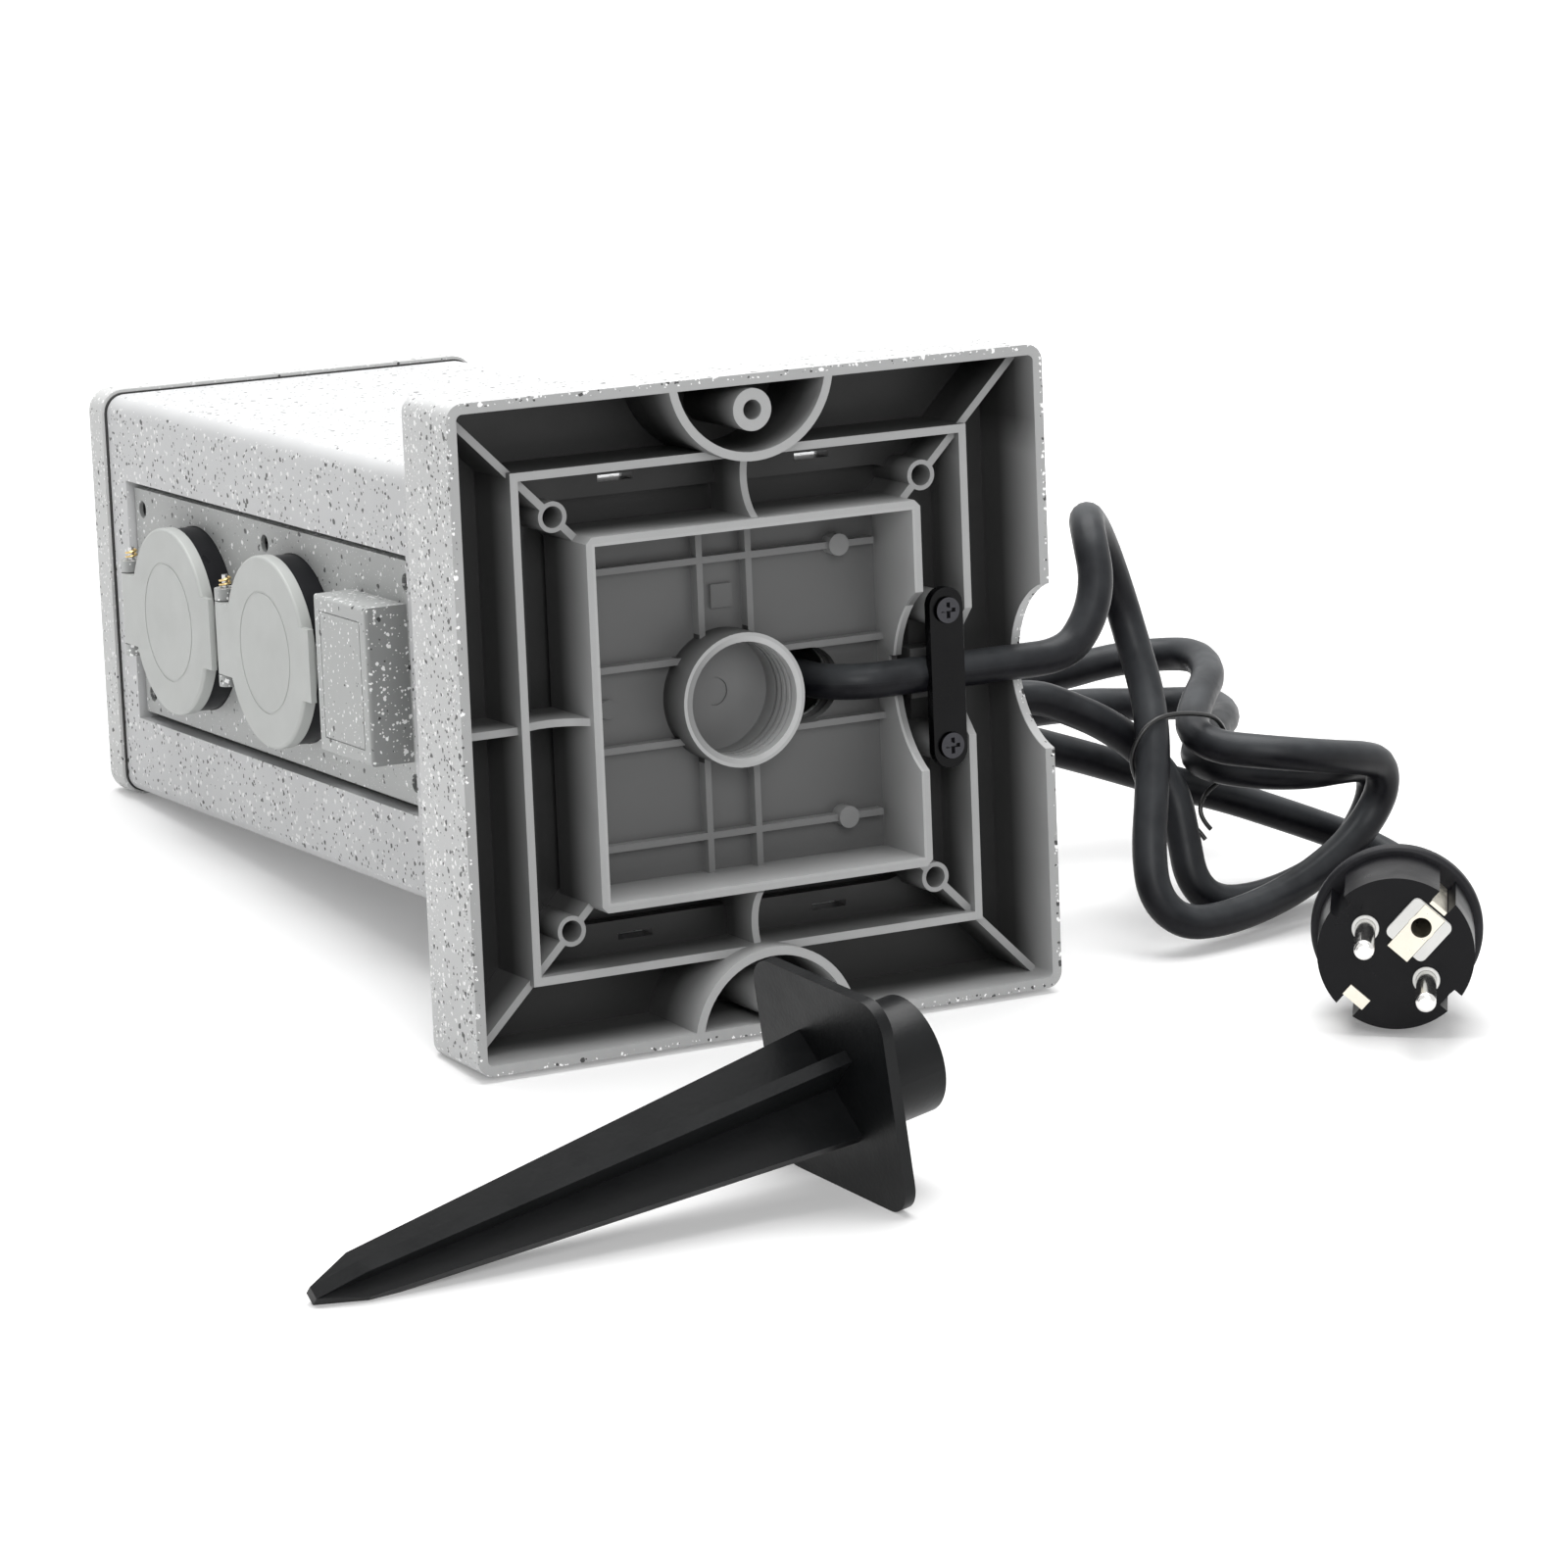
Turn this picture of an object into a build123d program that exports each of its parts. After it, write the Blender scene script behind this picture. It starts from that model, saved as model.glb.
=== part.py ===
from build123d import *
import os
from math import atan2, cos, degrees, hypot, pi, radians, sin, sqrt, tan

# Garden socket post: a square hollow column on a square base, with two lidded
# sockets in one side, a mains cable folded into a tied bundle, and a ground spike
# that screws into the base. It lies on its side, as it is photographed.
#
# The post is drawn upright in its own frame: z runs from the rim of the base to the
# cap, -x is the side with the sockets, and +y faces the ground. All lengths are in
# millimetres.

os.makedirs("parts", exist_ok=True)

# Clearances and shared small sizes
overrun = 1.0            # how far a cut runs past the face it opens
face_gap = 0.3           # air between a moving piece and its neighbour
slip = 0.2               # sideways play of a piece that is set into another
thread_play = 0.05       # between a screw's shank and its hole
pin_play = 0.05          # between a hinge pin and its bore

# Base
base_side = 156.0
base_depth = 27.6
base_draft = 0.65        # how far each side leans in at the back
base_wall = 2.5
base_corner = 4.0
base_inner_corner = 1.5
back_round = 3.0
back_wall = 2.5
channel_back = 7.1       # back of the base to the front of the plate round the column's foot
pocket_corner = 9.0      # corners of the pocket behind the column's foot
mid_setback = 18.0       # outside to the wall that carries the column
mid_wall = 2.0
mid_recess = 6.0
inner_setback = 16.0     # from that wall to the inner box
inner_wall = 2.2
inner_recess = 0.8
inner_chamfer = 1.5
tube_setback = 4.6       # inner box to the middles of the four corner tubes
tube_od = 7.3
tube_bore = 5.1
tube_recess = 8.2
web = 1.8                # thickness of the webs between the walls
web_offset = 0.9
web_sag = 4.0
foot_hole_setback = 8.4  # outside to the two screw-down bosses
foot_hole = 4.7
foot_boss = 10.0
foot_arc_beyond = 1.3    # the arcs' centres lie this far past the outside
foot_arc_radius = 21.7
foot_arc_wall = 2.1
window_length = 9.2
window_width = 1.6
window_offset = 26.0
window_inset = 0.1       # from the column's outside to the window

# Bay inside the inner box
bay_floor = 2.5
rib_height = 3.0
rib_wall = 1.6
rib_end_gap = 1.5
rib_across = 9.6
rib_far_setback = 8.9    # bay's wall to the far ribs
rib_along = 6.5
pad_round = 5.3
pad_round_setback = 11.4
pad_square = 5.6
pad_square_setback = 18.1
pad_height = 1.0
bump = 4.5
bump_setback = 10.8

# Spike socket
socket_od = 32.1
socket_bore = 27.7
socket_recess = 9.75
socket_floor = 2.5
groove_width = 1.2
groove_depth = 0.7
groove_pitch = 2.4
groove_count = 4
socket_mark = 6.8
socket_mark_depth = 0.6

# Cable and its way in
cable = 8.6
cable_level = 0.5        # how far the cable's line lies above the middle
cable_play = 0.05
cable_side_play = 0.6
notch_rim_half = 20.0
notch_rim_depth = 14.8
notch_box_half = 21.5
notch_box_depth = 12.4
notch_mid_half = 15.4
notch_mid_low_half = 10.6
notch_mid_depth = 4.4
cable_hole_width = 18.0
cable_hole_end = 31.0
cable_turn_x = 24.0
cable_turn = 12.5
cable_lead = 2.0         # straight cable outside the rim
sheath_end = 46.0

# Cable clamp
clamp_setback = 8.1      # inner box to the clamp's middle
clamp_length = 43.5
clamp_width = 9.0
clamp_wall = 2.5
clamp_front = 4.45
clamp_pitch = 32.65
clamp_post = 8.6
clamp_screw = 3.4
clamp_screw_length = 11.0
clamp_screw_room = 12.0
clamp_head = 6.2
clamp_head_height = 2.0
clamp_well = 1.0
clamp_saddle = 12.0

# Column
column_setback = 6.5     # mid wall's outside to the column's
column_wall = 3.0
column_corner = 5.0
column_beyond = 10.5     # column past the panel's end
corner_post = 13.0
corner_post_height = 15.0
column_screw = 3.0
column_screw_length = 14.0
column_head = 4.8
column_head_height = 2.0

# Cap
cap_seal = 1.0
cap_seal_proud = 0.4     # how far its edge shows past the column
cap_height = 11.6
cap_overhang = 1.2
cap_wall = 3.0
cap_round = 3.5
cap_spigot = 7.0
cap_spigot_wall = 2.4

# Socket panel
panel_start = 80.0
panel_beyond = 41.9      # upper socket's middle to the panel's end
panel_half = 31.9
panel_side_gap = 1.9
panel_end_gap = 1.0
panel_sink = 1.95        # column face to panel face
panel_wall = 3.0
panel_seal = 1.0
ledge = 4.1
ledge_wall = 2.5
frame_wall = 2.5
panel_screw_low_in = 4.8
panel_screw_mid_up = 18.2
panel_screw_high_in = 5.8
panel_screw_half = 24.6
panel_screw = 2.9
panel_screw_length = 8.4
panel_head = 4.2
panel_head_height = 1.2
panel_head_sink = 1.0
panel_boss = 6.8
panel_boss_length = 9.0
box_setback = 5.2        # panel's start to the raised hollow housing on it
box_length = 30.7
box_half = 19.4
box_height = 11.1
box_wall = 2.0
box_edge = 1.0
box_line_inset = 3.6
box_line = 0.3

# Sockets, each drawn with z out of the panel and x towards the cap
socket_setback = 71.6    # panel's start to the lower socket's middle
socket_pitch = 62.5
collar_radius = 23.9
collar_height = 5.65
well_radius = 19.9
well_depth = 17.5
flange_radius = 25.6
flange_wall = 2.5
ear_offset = 21.5
ear_far = 27.5
ear_radius = 3.2
body_radius = 22.8
body_length = 31.0
pin_pitch = 19.0
pin_hole = 5.6
contact = 9.6
contact_bore = 4.9
contact_length = 16.0
lug = 7.6
lug_length = 7.0
bow_width = 8.0
bow_wall = 1.0
bow_inset = 0.3
bow_mouth = 1.2
bow_hook = 0.5
bow_hook_length = 2.5
bow_hook_inset = 2.5
fixing_screw = 2.2
fixing_depth = 2.05      # how far it bites
fixing_head = 4.0
fixing_head_height = 1.5
terminal_screw = 3.0
terminal_head = 4.4
terminal_head_height = 1.4

# Lids
lid_radius = 24.4
lid_wall = 3.35
lid_edge = 0.8
lid_arm_half = 9.3
lid_tab_half = 9.2
lid_tab = 3.0
lid_tab_wall = 1.5
lid_ring = 15.0
lid_ring_width = 0.6
lid_ring_depth = 0.15
hinge_offset = 30.0
barrel_radius = 2.9
hinge_pin_radius = 0.8
hinge_ear = 3.0
hinge_foot = 1.5
pin_tail = 3.4
seal_radius = 19.4
seal_wall = 0.6
spring_wire = 0.6
spring_radius = 1.35
spring_pitch = 1.1
spring_turns = 2
spring_corners = 8       # corners of the spring's path in one turn

# Terminal block and wires
block_setback = 22.5     # column's outside to the block's middle
block_length = 20.0
block_width = 33.0
block_height = 15.0
block_step = 4.0         # panel's start to the block
pole_pitch = 10.5
block_bore = 5.4
block_screw = 3.2
block_screw_length = 4.4
block_post = 7.0
block_post_pitch = 10.5
block_fixing = 2.9
block_fixing_bite = 7.0
block_head = 5.2
block_head_height = 1.8
core = 2.5
core_play = 0.1
core_end_play = 0.5
core_turn = 9.0
low_crossing_step = 31.6 # where the wires cross the column, below the lower socket

# Screw heads: a cross of two slots, as shares of the head
cross_length_share = 0.62
cross_width_share = 0.16
cross_depth_share = 0.45

# Spike: plate, four fins and a threaded stub
spike_plate = 49.4
spike_plate_wall = 2.8
spike_plate_corner = 7.0
spike_length = 131.5
fin_half = 14.0
fin_low_half = 5.5
fin_wall = 3.0
fin_shoulder = 11.0
stub_radius = 13.5
stub_neck_radius = 12.0
stub_neck = 3.0
stub_length = 19.0
stub_hollow = 10.0
spike_x = -43.0          # where the plate's middle lies
spike_y = -119.7
spike_yaw = 185.7

# Plug, drawn with z out of its face and x along its pins
face_radius = 18.5
face_length = 20.0
face_spigot_radius = 14.0
face_spigot_length = 6.0
plug_flange_radius = 20.5
plug_flange_wall = 4.0
plug_flange_edge = 1.2
grip_radius = 17.0
grip_end_radius = 9.0
grip_length = 24.0
sleeve_radius = 6.6
sleeve_length = 14.0
plug_pin = 4.8
plug_pin_length = 19.0
plug_pin_tip = 1.2
pin_collar = 6.4
pin_collar_height = 0.5
pin_root = 6.0
groove_half = 2.5
clip_groove_depth = 4.0
guide_groove_depth = 2.6
clip_wall = 1.0
clip_tab = 3.0
clip_tab_width = 6.0
clip_tab_wall = 0.6
earth_offset = 9.0
earth_frame = 11.6
earth_frame_corner = 1.5
earth_frame_height = 1.0
earth_frame_shift = 0.8
earth_plate = 6.1
earth_plate_out = 4.9    # from the hole to the plate's two ends
earth_plate_in = 8.5
earth_plate_height = 0.7
earth_bore = 4.9
earth_tube_wall = 0.8
earth_tube_length = 15.0
plug_x = 128.4           # where the middle of its face lies
plug_y = -84.6
plug_z = -57.8
plug_yaw = -124.5
plug_roll = 39.7

# Power cord in the lying part's frame. It leaves the base, hangs from a bend, lies in
# two folded loops that the tie holds, and ends in the plug.
arc_share = 0.45
cord_turns = [
    (95.5, 2.5, 7.5), (100, 6, 16.5), (101, 12, 26), (107, 24, 29), (118, 35, 19),
    (125, 37, 4), (127, 33, -8), (126.5, 25, -18.5), (123, 16, -28.5), (118.5, 9, -40),
    (114, 3, -52.5), (113.5, -1, -63.5), (120, -4, -70.5), (134, -2, -71.7), (153, 3, -69.8),
    (168, 8, -66), (179, 11, -61), (186, 12, -54.5), (188.5, 11, -47.5), (186, 9, -41),
    (180, 6, -38), (171, 3, -36), (159, 1, -33.5), (147, 5, -32), (139.5, 14, -32),
    (139, 25, -30), (149, 37, -26), (161, 50, -24), (167, 66, -23), (162.5, 78, -25),
    (150, 83, -26.5), (135, 82.5, -28.5), (110, 82.5, -30), (88, 78, -31), (70, 66, -29),
    (66, 50, -25), (77, 36, -20), (95.5, 31, -17), (106.5, 30, -21.5), (117.5, 29, -27),
    (127.5, 27, -35), (133, 22, -44), (133, 17, -55.5), (133, 13, -65.5), (139, 11, -71.7),
    (153.5, 12, -72.7), (172, 18, -71), (185, 23, -67), (192, 26, -62), (196, 27, -55.5),
    (195.5, 26, -49), (190, 23, -45), (181, 19, -43.5), (168, 15, -42.5), (154, 16, -41),
    (145.5, 23, -40), (146, 34, -40), (158, 46, -38), (174, 62, -39.5), (179, 78, -40),
    (174.5, 90, -42.5), (164, 95, -42.7), (150, 95.5, -41), (125, 94, -40.5), (103, 90, -41),
    (83, 80, -42), (72, 64, -40), (79, 48, -36), (97, 42, -31), (110, 42, -35.5),
    (123.5, 43, -40.5), (136.5, 43.5, -45.5), (149, 42, -50), (161, 40, -54), (173.5, 38, -59),
    (185.5, 37.5, -64), (196, 35, -68.5), (202, 27, -72), (201, 15, -73.5), (194, 2, -72),
    (184.5, -8.5, -66),
]
cord_first_run = 8.0
cord_last_run = 16.0

# Cable tie round the bundle's middle, with its two free ends side by side
tie = 1.2
tie_turns = [
    (144.5, 22.5, -56), (141.5, 24, -52.5), (144.5, 26, -47.5), (150.5, 27, -45), (152.5, 26.5, -40),
    (150.5, 24.5, -34.5), (145.5, 21, -27.5), (139.5, 18.5, -24.5), (126.5, 14.5, -22),
    (119.5, 13.5, -23.5), (115.5, 14.5, -30.5), (118, 17, -37.5), (126.5, 22.5, -48),
    (130, 24, -51.5), (136.5, 25.5, -51.5), (140, 23, -54.5), (142, 21, -58),
]

# Sizes that follow from the ones above
mid_side = base_side - 2 * mid_setback
channel_depth = base_depth - channel_back
socket_depth = base_depth - socket_floor
inner_side = mid_side - 2 * inner_setback
tube_offset = inner_side / 2 + tube_setback
foot_hole_offset = base_side / 2 - foot_hole_setback
foot_arc_centre = base_side / 2 + foot_arc_beyond
clamp_x = inner_side / 2 + clamp_setback
column_side = mid_side - 2 * column_setback
column_half = column_side / 2
socket_low = panel_start + socket_setback
socket_high = socket_low + socket_pitch
panel_end = socket_high + panel_beyond
column_end = panel_end + column_beyond
panel_screw_low = panel_start + panel_screw_low_in
panel_screw_mid = socket_low + panel_screw_mid_up
panel_screw_high = panel_end - panel_screw_high_in
box_start = panel_start + box_setback
box_end = box_start + box_length
block_x = column_half - block_setback
block_start = panel_start + block_step
low_crossing = socket_low - low_crossing_step
high_crossing = (socket_low + socket_high) / 2
column_inner = column_side - 2 * column_wall
cap_start = column_end + cap_seal
cap_end = cap_start + cap_height
base_back_half = base_side / 2 - base_draft
tilt = degrees(atan2(base_back_half - column_half - cap_overhang, cap_end - base_depth))
post = Rot(-(90 + tilt), 0, 0) * Pos(0, 0, -socket_recess)
edge_y = base_back_half - back_round
edge_z = base_depth - back_round - socket_recess
floor_z = -edge_y * cos(radians(tilt)) - edge_z * sin(radians(tilt)) - back_round
cable_depth = notch_rim_depth - cable / 2 - cable_play
saddle_top = cable_depth + cable / 2 + cable_play
clamp_back = clamp_front + clamp_wall
hollow_side = base_side - 2 * base_wall
bay_side = inner_side - 2 * inner_wall
rib_far_across = bay_side / 2 - rib_far_setback
bay_back = channel_depth + bay_floor
panel_face = column_half - panel_sink
panel_back = panel_face - panel_wall
ledge_face = panel_back - panel_seal
lid_base = collar_height + face_gap
lid_top = lid_base + lid_wall
hinge_height = lid_top - barrel_radius
ear_start = lid_arm_half + face_gap
flange_back = -panel_wall - flange_wall


def block(length, width, height):
    """A box that stands on z = 0 with its middle on the z axis."""
    return Box(length, width, height, align=(Align.CENTER, Align.CENTER, Align.MIN))


def rod(radius, height):
    """A cylinder that stands on z = 0."""
    return Cylinder(radius, height, align=(Align.CENTER, Align.CENTER, Align.MIN))


def prism(side_x, side_y, corner, height):
    """A box with rounded upright edges that stands on z = 0."""
    return extrude(RectangleRounded(side_x, side_y, corner), height)


def joined(shapes):
    """All the shapes fused into one."""
    first, *rest = shapes
    return first.fuse(*rest)


def group(shapes):
    """Separate solids that share one node."""
    return Compound([solid for shape in shapes for solid in shape.solids()])


def corners(half_x, half_y):
    return [(sx * half_x, sy * half_y) for sx in (-1, 1) for sy in (-1, 1)]


def arc_radii(points):
    """For each corner the largest arc that its two runs have room for."""
    radii = []
    for before, here, after in zip(points, points[1:], points[2:]):
        turn = radians((here - before).get_angle(after - here))
        shorter = min((here - before).length, (after - here).length)
        radii.append(arc_share * shorter / tan(turn / 2))
    return radii


def tube(points, width):
    """The path and the solid of a round wire along straight runs joined by arcs."""
    points = [Vector(*p) for p in points]
    path = FilletPolyline(*points, radius=arc_radii(points))
    return path, sweep(Plane(origin=path @ 0, z_dir=path % 0) * Circle(width / 2), path=path)


def least_gap(path, width):
    """The least air between parts of one wire that lie over three widths apart along it."""
    points, walked, step = [], [], width / 4
    start = 0
    for edge in path.edges():
        count = int(edge.length / step) + 1
        for i in range(count):
            points.append(tuple(edge @ (i / count)))
            walked.append(start + edge.length * i / count)
        start += edge.length
    least = min(sqrt(sum((a - b) ** 2 for a, b in zip(points[i], points[j])))
                for i in range(len(points)) for j in range(i) if walked[i] - walked[j] > 3 * width)
    return least - width


def tell_wire(name, points, path, solid, width):
    """Print a wire's length, radii, least gap and how well its volume agrees."""
    radii = arc_radii([Vector(*p) for p in points])
    agree = solid.volume / (pi * width ** 2 / 4 * path.length)
    print(f"{name}: length {path.length:.1f}, radii", *[f"{r:.1f}" for r in radii])
    print(f"{name}: least radius {min(radii):.2f}, least gap {least_gap(path, width):.2f},"
          f" volume / (section x length) {agree:.4f}")


def screw(shank, length, head, head_height):
    """A screw that points down, its head standing on z = 0 with a cross in it."""
    long, short = head * cross_length_share, head * cross_width_share
    depth = head_height * cross_depth_share
    cross = block(long, short, depth + overrun) + block(short, long, depth + overrun)
    body = Pos(0, 0, -length) * rod(shank / 2, length) + rod(head / 2, head_height)
    return body - Pos(0, 0, head_height - depth) * cross


nodes = {}

# Base housing: skirt and back plate


def square_tube(side, wall, start, end, cut):
    outer = chamfer(Rectangle(side, side).vertices(), cut) if cut else Rectangle(side, side)
    return Pos(0, 0, start) * extrude(outer - Rectangle(side - 2 * wall, side - 2 * wall), end - start)


draft = degrees(atan2(base_draft, base_depth))
base = extrude(RectangleRounded(base_side, base_side, base_corner), base_depth, taper=draft)
base = fillet(base.faces().sort_by(Axis.Z)[-1].edges(), back_round)
inside = extrude(RectangleRounded(hollow_side, hollow_side, base_inner_corner),
                 base_depth - back_wall, taper=draft)
base -= inside

# the wall and the plates round the column's foot, with the pocket behind it
base += square_tube(mid_side, mid_wall, mid_recess, base_depth, 0)
base += Pos(0, 0, channel_depth) * block(mid_side, mid_side, base_depth - channel_depth)
base -= Pos(0, 0, channel_depth - overrun) * prism(
    column_inner, column_inner, pocket_corner, base_depth - back_wall - channel_depth + overrun)

# the inner box with its floor, held in that pocket by webs
base += square_tube(inner_side, inner_wall, inner_recess, bay_back, inner_chamfer)
base += Pos(0, 0, channel_depth) * block(bay_side + inner_wall, bay_side + inner_wall, bay_floor)
web_start = hypot(bay_side, bay_side) / 2 + web / 2
web_end = hypot(hollow_side, hollow_side) / 2
corner_web = Pos((web_start + web_end) / 2, 0, tube_recess) * block(
    web_end - web_start, web, base_depth - back_wall - tube_recess)
for angle in (45, 135, 225, 315):
    base += Rot(0, 0, angle) * corner_web
for x, y in corners(tube_offset, tube_offset):
    base += Pos(x, y, tube_recess) * rod(tube_od / 2, base_depth - tube_recess)

# webs with a sagging edge between the inner box and the wall round it
box_face = inner_side / 2 - inner_wall / 2
wall_face = mid_side / 2 - mid_wall / 2
sag_middle = ((box_face + wall_face) / 2, (inner_recess + mid_recess) / 2 + web_sag)
straight = Polyline((box_face, inner_recess), (box_face, bay_back), (wall_face, bay_back),
                    (wall_face, mid_recess))
sag = ThreePointArc((wall_face, mid_recess), sag_middle, (box_face, inner_recess))
web_plane = Plane(origin=(0, web_offset + web / 2, 0), x_dir=(1, 0, 0), z_dir=(0, -1, 0))
sag_web = extrude(web_plane * make_face(straight.edges() + sag.edges()), web)
for angle in (90, 180, 270):
    base += Rot(0, 0, angle) * sag_web
outer_run = hollow_side / 2 - wall_face
base += Pos(-wall_face - outer_run / 2, 0, tube_recess) * block(
    outer_run, web, base_depth - back_wall - tube_recess)

# spike socket, and the windows round the column's foot
base += Pos(0, 0, socket_recess) * rod(socket_od / 2, socket_depth + socket_floor - socket_recess)
base -= Pos(0, 0, socket_recess - overrun) * rod(socket_bore / 2, socket_depth - socket_recess + overrun)
for i in range(groove_count):
    groove = rod(socket_bore / 2 + groove_depth, groove_width)
    base -= Pos(0, 0, socket_recess + groove_pitch * (i + 1)) * groove
base -= Pos(0, 0, socket_depth - overrun) * rod(socket_mark / 2, socket_mark_depth + overrun)
window = Pos(column_half + window_inset + window_width / 2, 0, channel_depth - overrun) * block(
    window_width, window_length, base_depth)
for angle in (0, 90, 180, 270):
    for side in (-window_offset, window_offset):
        base -= Rot(0, 0, angle) * Pos(0, side, 0) * window

# ribs, pads and a bump on the bay's floor
rib_top = channel_depth - rib_height
rib_run = bay_side - 2 * rib_end_gap
ribs = []
for side in (-1, 1):
    ribs.append(Pos(side * rib_along, 0, rib_top) * block(rib_wall, bay_side + inner_wall, rib_height + overrun))
    ribs.append(Pos(0, side * rib_across, rib_top) * block(bay_side + inner_wall, rib_wall, rib_height + overrun))
    ribs.append(Pos(0, side * rib_far_across, rib_top) * block(rib_run, rib_wall, rib_height + overrun))
    ribs.append(Pos(bay_side / 2 - pad_round_setback, side * rib_far_across, rib_top - pad_height) * rod(
        pad_round / 2, rib_height + pad_height + overrun))
ribs.append(Pos(0, pad_square_setback - bay_side / 2, channel_depth - pad_height) * block(
    pad_square, pad_square, pad_height + overrun))
ribs.append(Pos(bump_setback - bay_side / 2, 0, channel_depth - pad_height) * rod(bump / 2, pad_height + overrun))
base += joined(ribs) - Pos(0, 0, socket_recess) * rod(socket_bore / 2 + groove_depth + slip, base_depth)

# screw-down bosses, each inside its arc of wall
for sign in (-1, 1):
    room = Pos(0, sign * foot_arc_centre, 0) * rod(foot_arc_radius - foot_arc_wall, base_depth - back_wall)
    arc = Pos(0, sign * foot_arc_centre, 0) * rod(foot_arc_radius, base_depth - back_wall)
    base += (arc & inside) - room
    base -= room & inside
    boss = Pos(0, sign * foot_hole_offset, 0)
    base += boss * rod(foot_boss / 2, base_depth - back_wall + overrun)
    base -= boss * Pos(0, 0, -overrun) * rod(foot_hole / 2, base_depth + 2 * overrun)

# posts and saddle under the cable clamp
for sign in (-1, 1):
    clamp_place = Pos(clamp_x, sign * clamp_pitch / 2, clamp_back)
    base += clamp_place * rod(clamp_post / 2, base_depth - clamp_back)
    base -= clamp_place * Pos(0, 0, -overrun) * rod(clamp_screw / 2 + thread_play, clamp_screw_room + overrun)
base += Pos(clamp_x, 0, saddle_top) * block(clamp_width, clamp_saddle, base_depth - saddle_top)


# the cable's bites in the three walls, and its hole in the bay's floor
def bite(x, half, start, depth, wall):
    """A round bite in a wall at x: a disc with its chord on the wall's rim."""
    radius = (half ** 2 + depth ** 2) / (2 * depth)
    return Pos(x, -cable_level, start + depth - radius) * Rot(0, 90, 0) * Cylinder(radius, 3 * wall)


base -= bite(hollow_side / 2 + base_wall / 2, notch_rim_half, 0, notch_rim_depth, base_wall)
base -= bite(inner_side / 2 - inner_wall / 2, notch_box_half, inner_recess, notch_box_depth, inner_wall)
funnel = make_face(Polyline(
    (-notch_mid_half, mid_recess - overrun), (notch_mid_half, mid_recess - overrun),
    (notch_mid_half, mid_recess), (notch_mid_low_half, mid_recess + notch_mid_depth),
    (-notch_mid_low_half, mid_recess + notch_mid_depth), (-notch_mid_half, mid_recess),
    (-notch_mid_half, mid_recess - overrun)).edges())
funnel_plane = Plane(origin=(wall_face - mid_wall, -cable_level, 0), x_dir=(0, 1, 0), z_dir=(1, 0, 0))
base -= extrude(funnel_plane * funnel, 2 * mid_wall)
for x, start, wall in ((wall_face, mid_recess, mid_wall), (box_face, inner_recess, inner_wall)):
    base -= Pos(x, -cable_level, start) * block(2 * wall, cable + 2 * cable_side_play, saddle_top - start)
hole_end = cable_hole_end - cable_hole_width / 2
cable_hole = Pos(hole_end, 0, 0) * rod(cable_hole_width / 2, base_depth)
cable_hole += Pos(hole_end / 2, 0, 0) * block(hole_end, cable_hole_width, base_depth)
base -= Pos(0, 0, rib_top - overrun) * (cable_hole - rod(socket_od / 2, base_depth))

# screw holes down the corner tubes
for x, y in corners(tube_offset, tube_offset):
    base -= Pos(x, y, tube_recess - overrun) * rod(tube_bore / 2, base_depth - back_wall - tube_recess + overrun)
    base -= Pos(x, y, tube_recess) * rod(column_screw / 2 + thread_play, base_depth)
nodes["base_housing"] = base

# Column: a square tube with filled corners at its foot and the panel's frame in one side
column_length = column_end - base_depth
column = prism(column_side, column_side, column_corner, column_length)
column -= prism(column_inner, column_inner, column_corner - column_wall, column_length)
foot = prism(column_side, column_side, column_corner, corner_post_height)
for x, y in corners(column_half, column_half):
    column += foot & Pos(x, y, 0) * block(2 * corner_post, 2 * corner_post, corner_post_height)
column = Pos(0, 0, base_depth) * column


def slab(outer, inner, start, end, half):
    """A box on the socket side, between two distances from the post's axis."""
    return Pos(-(outer + inner) / 2, 0, start) * block(outer - inner, 2 * half, end - start)


def from_panel(x, y, z):
    """The place of something that runs inwards from a distance on the socket side."""
    return Pos(-x, y, z) * Rot(0, 90, 0)


frame_back = ledge_face - ledge_wall
column += slab(column_half, frame_back, panel_start - frame_wall, panel_end + frame_wall, panel_half + frame_wall)
column -= slab(column_half + overrun, ledge_face, panel_start, panel_end, panel_half)
column -= slab(column_half, frame_back - overrun, panel_start + ledge, panel_end - ledge, panel_half - ledge)
screw_rows = (panel_screw_low, panel_screw_mid, panel_screw_high)
panel_screw_places = [(side * panel_screw_half, z) for z in screw_rows for side in (-1, 1)]
for y, z in panel_screw_places:
    outwards = 1 if y > 0 else -1
    bridge = panel_half - panel_screw_half
    column += from_panel(ledge_face, y, z) * rod(panel_boss / 2, panel_boss_length)
    column += from_panel(ledge_face, y + outwards * bridge / 2, z) * block(panel_boss, bridge, ledge_wall)
    column -= from_panel(ledge_face + overrun, y, z) * rod(panel_screw / 2 + thread_play, panel_boss_length)
for x, y in corners(tube_offset, tube_offset):
    column -= Pos(x, y, base_depth - overrun) * rod(column_screw / 2 + thread_play, column_screw_length)
block_back = block_x + block_height / 2
block_middle = block_start + block_length / 2
wall_inside = column_half - column_wall
for side in (-1, 1):
    block_place = Pos(block_back, side * block_post_pitch / 2, block_middle) * Rot(0, 90, 0)
    column += block_place * rod(block_post / 2, wall_inside - block_back + column_wall / 2)
    column -= block_place * Pos(0, 0, -overrun) * rod(block_fixing / 2 + thread_play, block_fixing_bite + 2 * overrun)
nodes["column_shell"] = column

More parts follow.
